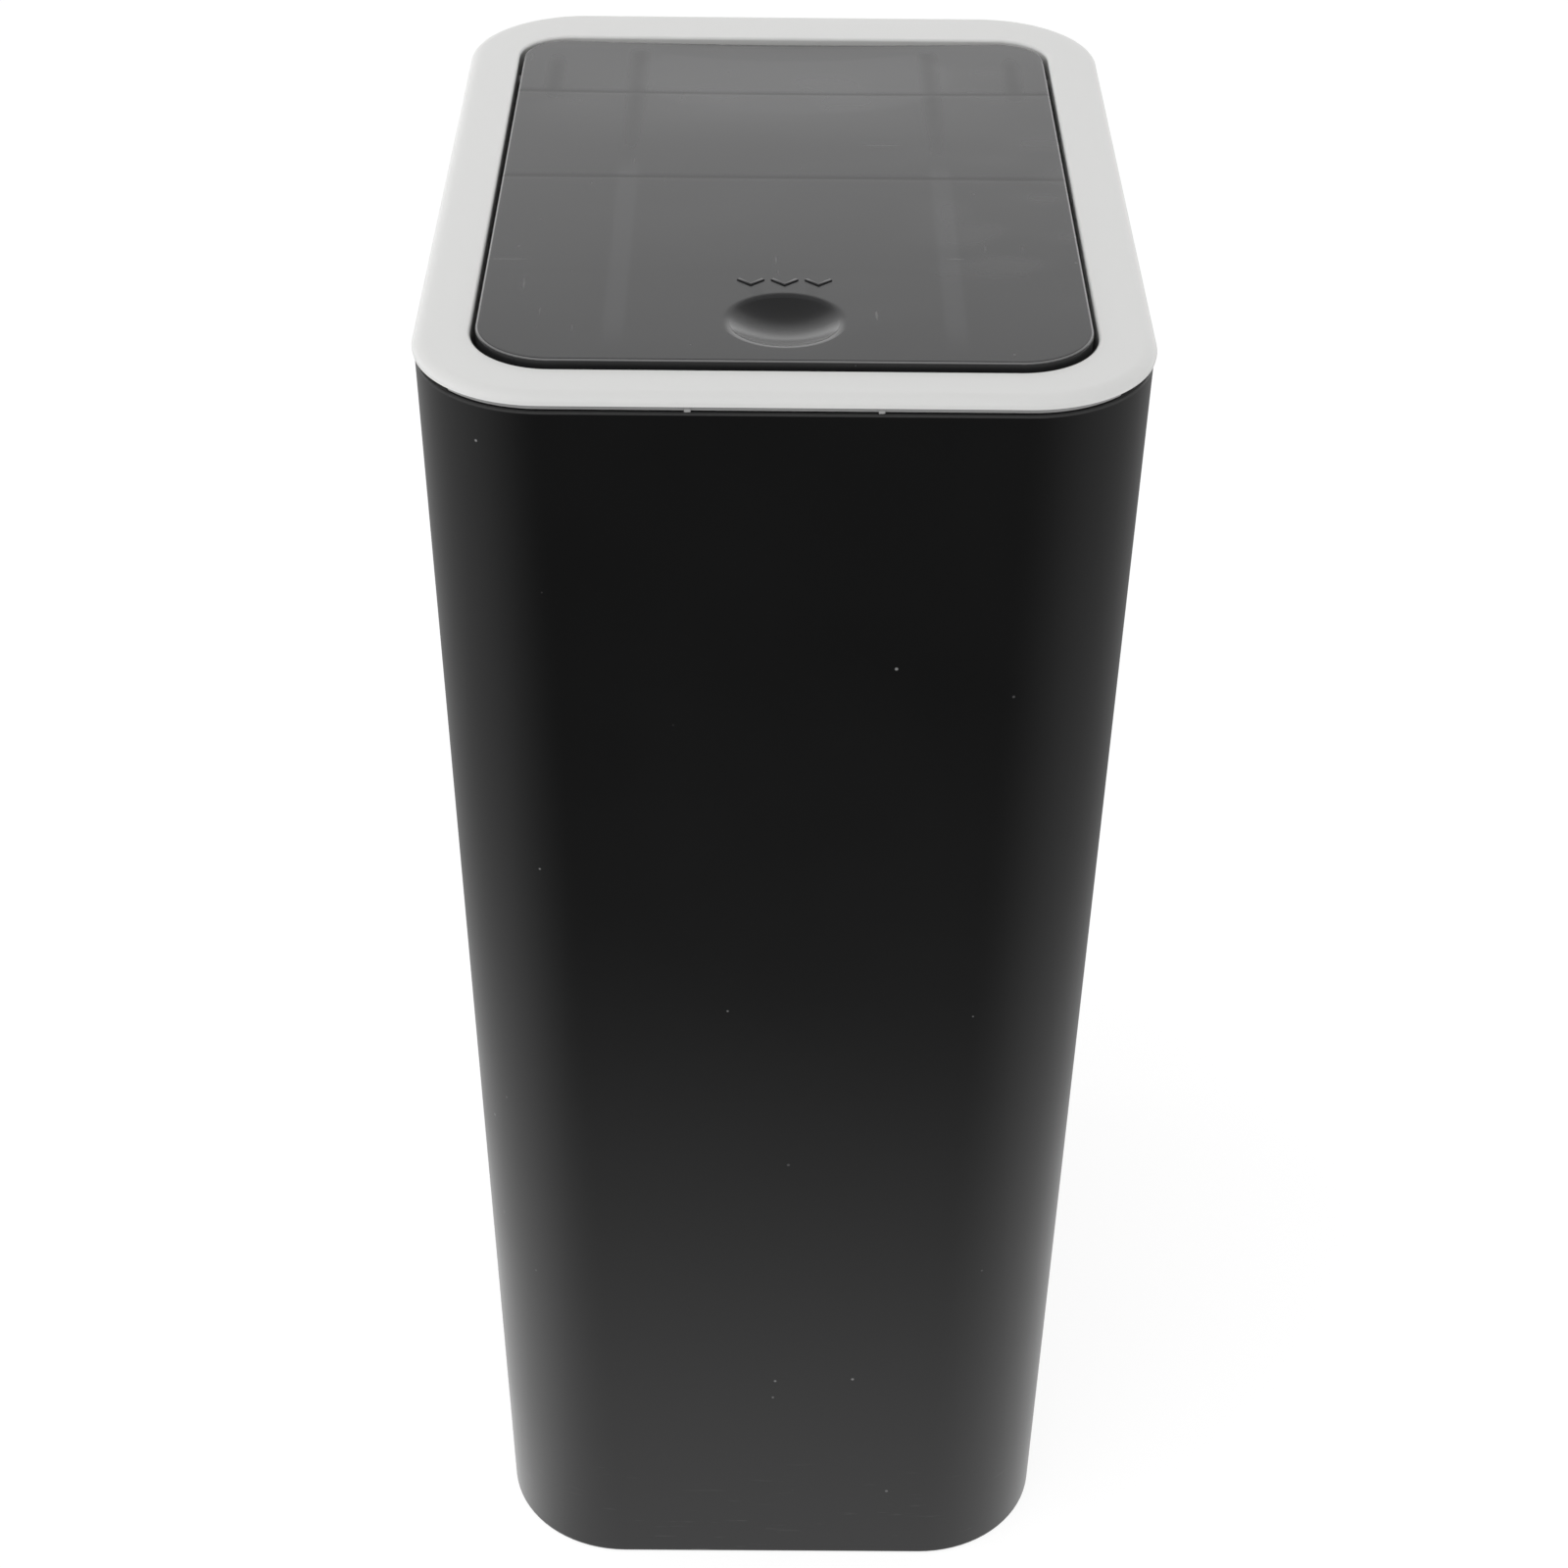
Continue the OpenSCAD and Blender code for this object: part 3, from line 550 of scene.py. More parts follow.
def soft_shading():
    """Joins a CAD piece's loose triangles and shades them smooth, sharp at its edges."""
    soft = Recipe("soft_shading", {"Sharp angle": "Float"})
    soft.sockets["Sharp angle"].subtype = "ANGLE"
    soft.sockets["Sharp angle"].default_value = math.radians(32.0)
    whole = soft.node("GeometryNodeMergeByDistance", sockets={
        "Geometry": soft.start, "Distance": 0.002 * MM})
    faces = soft.node("GeometryNodeSetShadeSmooth", sockets={"Geometry": whole})
    bend = soft.node("GeometryNodeInputMeshEdgeAngle", output="Unsigned Angle")
    gentle = soft.node("FunctionNodeCompare", {"operation": "LESS_THAN"}, {
        "A": bend, "B": soft.given["Sharp angle"]})
    edges = soft.node("GeometryNodeSetShadeSmooth", {"domain": "EDGE"}, {
        "Geometry": faces, "Shade Smooth": gentle})
    soft.node("NodeGroupOutput", sockets={0: edges})
    return soft.tree


def block_row():
    """Equal blocks in a straight row, such as ribs and webs."""
    row = Recipe("block_row", {"Count": "Int", "First": "Vector", "Step": "Vector",
                               "Size": "Vector", "Finish": "Material"})
    line = row.node("GeometryNodeMeshLine", {"mode": "OFFSET"}, {
        "Count": row.given["Count"], "Start Location": row.given["First"],
        "Offset": row.given["Step"]})
    cube = row.node("GeometryNodeMeshCube", sockets={"Size": row.given["Size"]})
    return row.close(row.node("GeometryNodeInstanceOnPoints", sockets={
        "Points": line, "Instance": cube}))


def grown_rows(name, rows, finish):
    """Objects of rows of blocks, each row given as its count, first middle, step and size."""
    recipe = block_row()
    return [recipe.grow(f"{name}_{i}", finish, dict(zip(("Count", "First", "Step", "Size"), row)))
            for i, row in enumerate(rows)]


def swept_wire():
    """Round wire along the edges of the starting mesh."""
    wire = Recipe("swept_wire", {"Radius": "Float", "Sides": "Int", "Finish": "Material"})
    path = wire.node("GeometryNodeMeshToCurve", sockets={"Mesh": wire.start})
    around = wire.node("GeometryNodeCurvePrimitiveCircle", sockets={
        "Resolution": wire.given["Sides"], "Radius": wire.given["Radius"]})
    return wire.close(wire.node("GeometryNodeCurveToMesh", sockets={
        "Curve": path, "Profile Curve": around, "Fill Caps": True}))


def chevron_row():
    """Small raised chevrons side by side, pointing to the front."""
    row = Recipe("chevron_row", {"Count": "Int", "First": "Vector", "Step": "Vector",
                                 "Half width": "Float", "Depth": "Float", "Stroke": "Float",
                                 "Height": "Float", "Finish": "Material"})
    stick = row.node("GeometryNodeMeshLine", {"mode": "OFFSET"}, {"Count": 3})
    index = row.node("GeometryNodeInputIndex")
    across = (index - 1.0) * row.given["Half width"]
    spot = row.node("ShaderNodeCombineXYZ", sockets={
        0: across, 1: abs(index - 1.0) * row.given["Depth"]})
    bent = row.node("GeometryNodeSetPosition", sockets={"Geometry": stick, "Position": spot})
    path = row.node("GeometryNodeMeshToCurve", sockets={"Mesh": bent})
    section = row.node("GeometryNodeCurvePrimitiveQuadrilateral", {"mode": "RECTANGLE"}, {
        "Width": row.given["Stroke"], "Height": row.given["Height"]})
    solid = row.node("GeometryNodeCurveToMesh", sockets={
        "Curve": path, "Profile Curve": section, "Fill Caps": True})
    line = row.node("GeometryNodeMeshLine", {"mode": "OFFSET"}, {
        "Count": row.given["Count"], "Start Location": row.given["First"],
        "Offset": row.given["Step"]})
    return row.close(row.node("GeometryNodeInstanceOnPoints", sockets={
        "Points": line, "Instance": solid}))


# Sizes and colours

def number(name, description, default, **kind):
    return bpy.props.FloatProperty(name=name, description=description, default=default, **kind)


def size(name, description, millimetres):
    return number(name, description, millimetres * MM, unit="LENGTH")


def shade(name, description, colour):
    return bpy.props.FloatVectorProperty(
        name=name, description=description, size=3, subtype="COLOR", default=colour,
        min=0.0, max=1.0)


class BinColours(bpy.types.PropertyGroup):
    body: shade("Body", "Satin black of the bin body", (0.0064, 0.0064, 0.0066))
    rim: shade("Rim", "Off-white of the rim frame", (0.78, 0.78, 0.77))
    lid: shade("Lid", "Dark grey of the lid", (0.016, 0.0162, 0.017))
    latch: shade("Latch", "Natural acetal of the latch", (0.78, 0.77, 0.71))
    steel: shade("Steel", "Plated steel of pins, springs and screws", (0.6, 0.6, 0.6))


class BodySizes(bpy.types.PropertyGroup):
    height: size("Height", "Height of the body", 334.1)
    width: size("Width", "Outside width at the top", 149.0)
    depth: size("Depth", "Outside depth at the top", 201.0)
    taper: size("Taper", "How much narrower each side is at the base", 6.8)
    top_corner: size("Top corner", "Corner radius at the top", 26.6)
    base_corner: size("Base corner", "Corner radius at the base", 30.0)
    wall: size("Wall", "Wall of the body", 2.2)
    floor: size("Floor", "Height of the floor's upper face", 5.6)
    foot: size("Foot", "Height of the foot", 3.0)
    foot_width: size("Foot width", "Width of the foot", 7.0)
    foot_round: size("Foot edge", "Rounding of the bottom edge", 1.2)
    floor_round: size("Floor edge", "Rounding between floor and walls", 6.0)


class RimSizes(bpy.types.PropertyGroup):
    top: size("Top", "Height of the rim's top", 338.0)
    width: size("Width", "Outside width", 150.0)
    depth: size("Depth", "Outside depth", 202.0)
    corner: size("Corner", "Outside corner radius", 27.0)
    lip: size("Lip", "Thickness of the top plate", 2.4)
    crown: size("Crown", "Width of the rounding of the top outer edge", 3.0)
    crown_drop: size("Crown drop", "Height of that rounding", 1.7)
    reveal: size("Reveal", "Height of the band below the lip", 1.5)
    band_in: size("Band set-in", "How far the band below the lip is set in", 1.2)
    band_gap: size("Band gap", "Gap between that band and the body", 0.25)
    plug_in: size("Plug set-in", "How far the plug is set in", 3.34)
    plug_corner: size("Plug corner", "Outside corner radius of the plug", 24.2)
    plug_wall: size("Plug wall", "Wall of the plug", 1.8)
    plug: size("Plug depth", "Depth of the plug below the top", 18.0)
    collar_wall: size("Collar wall", "Wall round the opening", 2.0)
    collar: size("Collar depth", "Depth of the collar below the top", 22.5)
    open_width: size("Opening width", "Width of the opening", 126.6)
    open_front: size("Opening front", "Front edge of the opening", -89.3)
    open_back: size("Opening back", "Back edge of the opening", 85.3)
    open_corner: size("Opening corner", "Front corner radius of the opening", 16.7)
    open_back_corner: size("Opening back corner", "Back corner radius of the opening", 12.0)
    web: size("Webs", "Depth of the webs below the top", 12.0)
    web_wall: size("Web thickness", "Thickness of the webs", 1.5)
    web_end: size("Side webs", "Where the side webs end", 70.66)
    web_end_y: size("End webs", "Where the front and back webs end", 96.66)
    web_x: size("End web place", "Distance of the front and back webs from the middle", 40.0)
    pad_x: size("End pad place", "Distance of the front and back pads from the middle", 19.0)
    pad_y: size("Side pad place", "Distance of the side pads from the middle", 52.0)
    pad_end: size("Side pads", "Where the side pads end", 73.9)
    pad_end_y: size("End pads", "Where the front and back pads end", 100.05)
    pad_width: size("Pads", "Width of the pads", 1.3)


class LidSizes(bpy.types.PropertyGroup):
    width: size("Width", "Width of the lid", 124.6)
    front: size("Front", "Front edge of the lid", -88.3)
    back: size("Back", "Back edge of the lid", 83.8)
    corner: size("Corner", "Front corner radius", 15.7)
    back_corner: size("Back corner", "Back corner radius", 11.0)
    top: size("Top", "Height of the shut lid's top", 338.0)
    thick: size("Thickness", "Thickness of the lid", 2.0)
    edge: size("Edge", "Rounding of the top edge", 0.7)
    skirt: size("Skirt", "Depth of the skirt", 9.0)
    skirt_wall: size("Skirt wall", "Thickness of the skirt", 1.6)
    dip: size("Dip", "How far the back edge sags in its middle", 0.9)
    dip_start: size("Dip start", "Where that sag begins", 20.0)
    mark_y: size("Press mark", "Place of the press mark", -53.5)
    mark_pitch: size("Mark pitch", "Spacing of the mark's chevrons", 7.0)
    mark_width: size("Mark width", "Width of a chevron", 5.2)
    mark_depth: size("Mark depth", "Depth of a chevron", 2.6)
    mark_stroke: size("Mark stroke", "Thickness of a chevron's line", 0.9)
    mark_height: size("Mark height", "How far the chevrons stand up", 0.22)
    press: size("Dimple", "Place of the finger dimple", -69.6)
    bowl: size("Bowl", "Radius of the dimple's bowl", 24.0)
    bowl_depth: size("Bowl depth", "Depth of the dimple", 3.2)
    shoulder: size("Shoulder", "Rounding round the dimple", 3.0)
    rib: size("Rib", "Thickness of the ribs", 1.2)
    rib_depth: size("Rib depth", "Depth of the ribs", 5.0)
    rib_x: size("Long ribs", "Distance of the long ribs from the middle", 34.5)
    cross_mid: size("Middle cross rib", "Place of the middle cross rib", 1.55)
    cross_pitch: size("Cross rib pitch", "Spacing of the cross ribs", 49.5)
    seat_x: size("Latch seat width", "Half width of the seat of the latch tongue", 10.0)
    seat_y: size("Latch seat depth", "Half depth of that seat", 5.0)
    seat_low: size("Latch seat", "Height of that seat's face", 329.5)


class HingeSizes(bpy.types.PropertyGroup):
    y: size("Hinge Y", "Place of the hinge line", 70.0)
    z: size("Hinge Z", "Height of the hinge line", 332.5)
    rise: number("Rise", "Angle at which the latch holds the lid above flush", math.radians(0.5),
                 subtype="ANGLE")
    knuckle: size("Knuckle", "Radius of the hinge knuckles", 3.5)
    arm_x: size("Arm", "Inner face of the inner hinge arms", 53.1)
    arm: size("Arm thickness", "Thickness of the inner hinge arms", 1.8)
    arm_length: size("Arm length", "Length of the arms in front of the hinge line", 22.0)
    wire: size("Wire", "Wire of the lid springs", 0.8)
    coil: size("Coil", "Radius of the lid springs", 2.7)
    coil_x: size("Coil place", "Inner end of each lid spring", 55.6)
    pitch: size("Pitch", "Pitch of the lid springs", 1.26)
    leg: size("Legs", "Length of the lid springs' legs", 12.0)
    turns: bpy.props.IntProperty(name="Turns", description="Turns of each lid spring", default=2)
    slope: size("Leg slope", "How far the lower leg slopes down", 3.0)
    leg_end: size("Leg end", "Where the lower leg ends in the rim", 65.3)


class LatchSizes(bpy.types.PropertyGroup):
    shelf_top: size("Shelf top", "Height of the latch shelf", 318.018)
    shelf: size("Shelf", "Thickness of the latch shelf", 2.5)
    shelf_x: size("Shelf width", "Half width of the latch shelf", 14.4)
    shelf_back: size("Shelf back", "Back edge of the latch shelf", -61.9)
    gusset: size("Gusset", "Depth of the apron and gussets below the shelf", 13.0)
    hole_x: size("Hole width", "Half width of the hole for the housing", 7.3)
    hole_front: size("Hole front", "Front edge of that hole", -75.2)
    hole_back: size("Hole back", "Back edge of that hole", -65.1)


class StudioSizes(bpy.types.PropertyGroup):
    camera_at: bpy.props.FloatVectorProperty(
        name="Camera", description="Where the camera stands", size=3, subtype="XYZ",
        unit="LENGTH", default=(-0.00357, -0.63862, 0.62100))
    lens: number("Lens", "Focal length on a 36 mm sensor", 71.361, unit="CAMERA")
    yaw: number("Yaw", "Turn of the camera about the vertical", -0.00803, subtype="ANGLE")
    pitch: number("Pitch", "Downward tilt of the camera", 0.60812, subtype="ANGLE")
    roll: number("Roll", "Lean of the camera", 0.01222, subtype="ANGLE")
    dome: number("Dome", "Brightness of the soft light from all round", 0.4)
    top_light: number("Top light", "Power of the large light overhead", 10.6, unit="POWER")
    side_light: number("Side light", "Power of the light at each side", 2.7, unit="POWER")


# Body and rim

def body_shell(s):
    """The tapered bucket as one closed shell, from its underside round to its floor."""
    runs, arc = (8, 6), 20

    def ring(inset, z, level=None):
        level = z if level is None else level
        narrow = s.taper * (1 - level / s.height)
        corner = s.base_corner + (s.top_corner - s.base_corner) * level / s.height
        flat = outline(s.width - 2 * (narrow + inset), s.depth - 2 * (narrow + inset),
                       corner - inset, arc=arc, runs=runs)
        return at_height(flat, z)

    small = 0.5 * MM
    rings = [ring(s.foot_width + 12 * MM, s.foot, 0), ring(s.foot_width + small, s.foot, 0),
             ring(s.foot_width, s.foot - small, 0), ring(s.foot_width, small, 0),
             ring(s.foot_width - small, 0, 0)]
    rings += [ring(inset, rise) for inset, rise in round_edge(s.foot_round, 6)]
    for z in np.linspace(s.foot_round, s.height - small, 14)[1:]:
        rings.append(ring(0, z))
    for inset, drop in reversed(round_edge(small, 3)):
        if inset > 0:
            rings.append(ring(inset, s.height - drop))
    for inset, drop in round_edge(small, 3):
        rings.append(ring(s.wall - inset, s.height - drop))
    for z in np.linspace(s.height - small, s.floor + s.floor_round, 14)[1:]:
        rings.append(ring(s.wall, z))
    for inset, rise in reversed(round_edge(s.floor_round, 6)):
        rings.append(ring(s.wall + inset, s.floor + rise))
    rings.append(ring(s.wall + s.floor_round + 20 * MM, s.floor))
    return loft(rings)


def rim_ring(s, inset, drop, corner=None):
    """Points round the rim's outside at a distance in from it and below the top."""
    corner = s.corner - inset if corner is None else corner
    flat = outline(s.width - 2 * inset, s.depth - 2 * inset, corner, arc=24, runs=(16, 12))
    return at_height(flat, s.top - drop)


def opening_ring(s, out, drop):
    """Points round the rim's opening at a distance out from it and below the top."""
    flat = outline(s.open_width + 2 * out, s.open_back - s.open_front + 2 * out,
                   s.open_corner + out, s.open_back_corner + out, arc=24, runs=(16, 12))
    flat[:, 1] += (s.open_front + s.open_back) / 2
    return at_height(flat, s.top - drop)


def rim_shell(s):
    """The rim's plate, plug and collar as one closed shell round its opening."""
    soft = 0.3 * MM
    inner_edge = 0.7 * MM
    rings = [opening_ring(s, soft, s.collar), opening_ring(s, 0, s.collar - soft)]
    rings += [opening_ring(s, 0, drop) for drop in np.linspace(s.collar - soft, inner_edge, 6)[1:-1]]
    rings += [opening_ring(s, inset, drop) for inset, drop in reversed(round_edge(inner_edge, 5))]
    first = opening_ring(s, inner_edge, 0)
    last = rim_ring(s, s.crown, 0)
    rings += [first + (last - first) * k / 6 for k in range(1, 6)]
    rings += [rim_ring(s, inset, drop) for inset, drop in round_edge(s.crown, 10, s.crown_drop)]
    rings += [rim_ring(s, 0.1 * MM, s.lip - 0.1 * MM), rim_ring(s, soft, s.lip)]
    plug = s.plug_in
    rings += [rim_ring(s, plug, s.lip, s.plug_corner), rim_ring(s, plug, s.plug - soft, s.plug_corner),
              rim_ring(s, plug + soft, s.plug, s.plug_corner - soft)]
    thick = plug + s.plug_wall
    bore = s.plug_corner - s.plug_wall
    rings += [rim_ring(s, thick - soft, s.plug, bore + soft), rim_ring(s, thick, s.plug - soft, bore),
              rim_ring(s, thick, s.lip, bore)]
    rings += [opening_ring(s, s.collar_wall, s.lip), opening_ring(s, s.collar_wall, s.collar - soft),
              opening_ring(s, s.collar_wall - soft, s.collar)]
    return loft(rings, closed=True)


def reveal_bands(s):
    """The band below the lip in front, which reaches round into both corners, and its like behind."""
    reach, run = 13, 11
    soft = 0.2 * MM
    low = s.lip + s.reveal - s.band_gap
    rails = [rim_ring(s, inset, drop) for inset, drop in (
        (s.band_in, s.lip - soft), (s.band_in, low - soft), (s.band_in + soft, low),
        (s.plug_in + 2 * soft, low), (s.plug_in + 2 * soft, s.lip - soft))]
    sections = np.roll(np.stack(rails, axis=1), run + reach, axis=0)
    front = loft(sections[:run + 2 * reach])
    return [front] + mirrored([front], (1, -1, 1))


def plate_with_hole(low, high, hole_low, hole_high):
    """A flat plate between two corners with an upright rectangular hole."""
    def ring(a, b, z, corner):
        flat = outline(b[0] - a[0], b[1] - a[1], corner, arc=3)
        flat += ((a[0] + b[0]) / 2, (a[1] + b[1]) / 2)
        return at_height(flat, z)

    soft, small = 0.3 * MM, 0.5 * MM
    rings = [ring(low, high, low[2], small), ring(low, high, high[2], small),
             ring(hole_low, hole_high, high[2], soft), ring(hole_low, hole_high, low[2], soft)]
    return loft(rings, closed=True)


def latch_shelf(rim, s):
    """The shelf under the rim that carries the latch, with its apron and gussets."""
    low = s.shelf_top - s.shelf
    apron_low = low - s.gusset
    inset = 0.15 * MM
    front = rim.open_front - rim.collar_wall + inset
    shapes = [plate_with_hole((-s.shelf_x, front, low), (s.shelf_x, s.shelf_back, s.shelf_top),
                              (-s.hole_x, s.hole_front), (s.hole_x, s.hole_back)),
              block((-s.shelf_x, front, apron_low),
                    (s.shelf_x, rim.open_front - inset, s.shelf_top - inset))]
    tuck = 0.2 * MM
    side = [(rim.open_front - tuck, low + tuck), (s.shelf_back, low + tuck),
            (s.shelf_back, low - MM), (rim.open_front - tuck, apron_low)]
    gusset = slab(side, s.shelf_x - rim.collar_wall, s.shelf_x)
    return shapes + [gusset] + mirrored([gusset])


def hinge_bosses(rim, hinge):
    """The blocks at the sides of the opening that hold the hinge pins."""
    half = 4.5 * MM
    boss = block((rim.open_width / 2 + MM, hinge.y - half, hinge.z - half),
                 (rim.web_end, hinge.y + half, rim.top - rim.lip + 0.1 * MM))
    return [boss] + mirrored([boss])


def rim_rows(s, hinge):
    """Rows of webs and pads under the lip: how many, the first one's middle, the step and the size."""
    before_corner, before_hinge, overlap = 10.6 * MM, 22 * MM, 0.1 * MM
    under = s.top - s.lip + overlap
    web_z, web_h = (under + s.top - s.web) / 2, under - s.top + s.web
    pad_z, pad_h = (under + s.top - s.lip - s.reveal) / 2, s.reveal + overlap
    first = s.open_front + s.open_corner + before_corner
    span = hinge.y - before_hinge - first
    web_x, web_l = (s.open_width / 2 + s.web_end + MM) / 2, s.web_end - s.open_width / 2 - MM
    pad_x, pad_l = (s.web_end + s.pad_end) / 2, s.pad_end - s.web_end
    pad_y, pad_d = (s.web_end_y + s.pad_end_y) / 2, s.pad_end_y - s.web_end_y
    rows = []
    for sign, gap in ((-1, s.open_front - MM + s.web_end_y), (1, s.web_end_y - s.open_back - MM)):
        rows += [(4, (sign * web_x, first, web_z), (0, span / 3, 0), (web_l, s.web_wall, web_h)),
                 (2, (sign * pad_x, -s.pad_y, pad_z), (0, 2 * s.pad_y, 0), (pad_l, s.pad_width, pad_h)),
                 (2, (-s.web_x, sign * (s.web_end_y - gap / 2), web_z), (2 * s.web_x, 0, 0),
                  (s.web_wall, gap, web_h)),
                 (2, (-s.pad_x, sign * pad_y, pad_z), (2 * s.pad_x, 0, 0), (s.pad_width, pad_d, pad_h))]
    return rows


# Lid

def lid_shape(s):
    """The lid's skin as one closed shell: dimple, top, skirt and underside."""
    middle = (s.front + s.back) / 2
    press = np.array((0.0, s.press))

    def edge(inset):
        inner = outline(s.width - 2 * inset, s.back - s.front - 2 * inset, s.corner - inset,
                        s.back_corner - inset, arc=16, runs=(60, 46))
        inner[:, 1] += middle
        return inner

    away = edge(0.0) - press
    spokes = away / np.linalg.norm(away, axis=1)[:, None]

    def circle(radius):
        return press + radius * spokes

    def sag(points):
        back = np.clip((points[:, 1] - s.dip_start) / (s.back - s.dip_start), 0, 1)
        side = np.clip(1 - (points[:, 0] / (s.width / 2)) ** 2, 0, 1)
        return -s.dip * back * back * (3 - 2 * back) * side

    def ring(points, z):
        placed = at_height(points, s.top + z)
        placed[:, 2] += sag(points)
        return placed

    centre = s.bowl - s.bowl_depth
    join, mouth = dimple_radii(s)
    rings = [ring(circle(r), centre - math.sqrt(s.bowl ** 2 - r ** 2))
             for r in np.linspace(0.06, 1.0, 14) * join]
    first = math.atan2(centre + s.shoulder, -mouth)
    for a in np.linspace(first, math.pi / 2, 9)[1:]:
        rings.append(ring(circle(mouth + s.shoulder * math.cos(a)),
                          s.shoulder * (math.sin(a) - 1)))
    start, end = circle(mouth), edge(s.edge)
    for t in np.linspace(0.0, 1.0, 34)[1:-1]:
        rings.append(ring(start + (end - start) * t, 0.0))
    rings += [ring(edge(inset), -drop) for inset, drop in round_edge(s.edge, 6)]
    soft = 0.3 * MM
    rings += [ring(edge(0.0), -s.skirt + soft), ring(edge(soft), -s.skirt),
              ring(edge(s.skirt_wall - soft), -s.skirt), ring(edge(s.skirt_wall), -s.skirt + soft),
              ring(edge(s.skirt_wall), -s.thick - soft), ring(edge(s.skirt_wall + soft), -s.thick)]
    under = s.bowl + s.thick
    bulge = math.sqrt(under ** 2 - (centre + s.thick) ** 2)
    start, end = edge(s.skirt_wall + soft), circle(bulge)
    for t in np.linspace(0.0, 1.0, 20)[1:]:
        rings.append(ring(start + (end - start) * t, -s.thick))
    rings += [ring(circle(r), centre - math.sqrt(under ** 2 - r ** 2))
              for r in np.linspace(0.94, 0.06, 8) * bulge]
    return loft(rings)


def lid_rows(s):
    """Rows of ribs under the lid, with the same four values as the rim's rows."""
    top, low = s.top - 0.6 * s.thick, s.top - s.thick - s.rib_depth
    front, back = s.front + MM, s.cross_mid + s.cross_pitch
    middle, height = (top + low) / 2, top - low
    return [(3, (0, s.cross_mid - s.cross_pitch, middle), (0, s.cross_pitch, 0),
             (s.width - 2 * s.skirt_wall + MM, s.rib, height)),
            (2, (-s.rib_x, (front + back) / 2, middle), (2 * s.rib_x, 0, 0),
             (s.rib, back - front, height))]


def inside_bowl(s, x, y):
    """Height of the middle of the bowl's wall at a distance from the press point."""
    middle = s.bowl + s.thick / 2
    reach = np.maximum(middle ** 2 - x ** 2 - y ** 2, 0.0)
    return s.top + s.bowl - s.bowl_depth - np.sqrt(reach)


def seat_ribs(s):
    """The two short ribs from the latch seat to the front cross rib, below the bowl."""
    inner, outer = s.seat_x - 1.5 * s.rib, s.seat_x - 0.5 * s.rib
    start, end = s.press + s.seat_y - MM, s.cross_mid - s.cross_pitch
    along = np.linspace(start, end, 16)
    crest = np.minimum(inside_bowl(s, outer, along - s.press), s.top - s.thick / 2)
    low = s.top - s.thick - s.rib_depth
    side = [(start, low), (end, low)] + list(zip(along[::-1], crest[::-1]))
    rib = slab(side, inner, outer, 0.0)
    return [rib] + mirrored([rib])


def latch_seat(s):
    """The block under the dimple that carries the latch tongue, its top inside the bowl's wall."""
    flat = outline(2 * s.seat_x, 2 * s.seat_y, 0.6 * MM, arc=4, runs=(6, 10))

    def ring(share, z=None):
        placed = at_height(flat * share, z or 0.0)
        if z is None:
            placed[:, 2] = inside_bowl(s, placed[:, 0], placed[:, 1])
        placed[:, 1] += s.press
        return placed

    soft = 0.2 * MM
    return loft([ring(1 - soft / s.seat_y, s.seat_low), ring(1.0, s.seat_low + soft)]
                + [ring(share) for share in (1.0, 0.8, 0.6, 0.4, 0.2, 0.05)])


def hinge_arms(lid, s):
    """The two arms under the lid that turn on the hinge pins."""
    top = lid.top - lid.thick / 2
    knuckle = arc_points(s.y, s.z, s.knuckle, -180.0, 0.0, 16)
    front = s.y - s.arm_length
    meets = (s.y - 0.6 * s.knuckle, s.z - 0.8 * s.knuckle)
    side = [(front, lid.top - lid.thick - lid.rib_depth), meets]
    side += [p for p in knuckle if p[0] > meets[0]]
    side += [(s.y + s.knuckle, top), (front, top)]
    arm = slab(side, s.arm_x, s.arm_x + s.arm)
    return [arm] + mirrored([arm])


def lifted(shapes, hinge):
    """Turns what is drawn in the closed lid's own frame up to where the latch holds it."""
    turn = (Matrix.Translation((0, hinge.y, hinge.z)) @ Matrix.Rotation(-hinge.rise, 4, "X")
            @ Matrix.Translation((0, -hinge.y, -hinge.z)))
    for shape in shapes:
        if isinstance(shape, bpy.types.Object):
            shape.data.transform(turn)
        else:
            bmesh.ops.transform(shape, matrix=turn, verts=shape.verts)
    return shapes


# Hinges

def spring_path(s, side, part):
    """Points of one lid spring: its lower leg and coil, or its last bend and upper leg."""
    steps = 24
    length = (s.turns + 0.5) * s.pitch
    low = -s.coil - s.slope
    total = s.turns * steps + steps // 2
    coil = []
    for i in range(total + 1):
        a = math.radians(-90 + i * 360 / steps)
        coil.append((length * (1 - i / total), s.coil * math.cos(a), s.coil * math.sin(a)))
    if part == "coil":
        leg = [(s.leg_end - s.coil_x, -s.leg, low), (length + MM, -s.leg, low),
               (length + 0.3 * MM, -s.leg + 0.3 * MM, low + 0.1 * MM),
               (length, -s.leg + MM, low + 0.3 * MM)]
        points = leg + coil[:total - steps // 4 + 1]
    else:
        points = coil[total - steps // 4:] + [(0.0, -s.leg / 2, s.coil), (0.0, -s.leg, s.coil)]
    return [(side * (s.coil_x + x), s.y + y, s.z + z) for x, y, z in points]


def path_mesh(points):
    mesh = bpy.data.meshes.new("path")
    mesh.from_pydata(points, [(i, i + 1) for i in range(len(points) - 1)], [])
    return mesh


# Pieces

def placed(made, body, slot, *nodes):
    """Fastens a piece to its body and hides the CAD nodes it stands for; its slot is not used."""
    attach(made, body)
    if nodes:
        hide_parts(*nodes)


def dress(node, finish):
    """Gives a CAD piece its finish and smooth shading."""
    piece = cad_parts[node]
    piece.data.materials.clear()
    piece.data.materials.append(finish)
    shading = piece.modifiers.new("soft_shading", "NODES")
    shading.node_group = bpy.data.node_groups.get("soft_shading") or soft_shading()
    even_normals(piece)


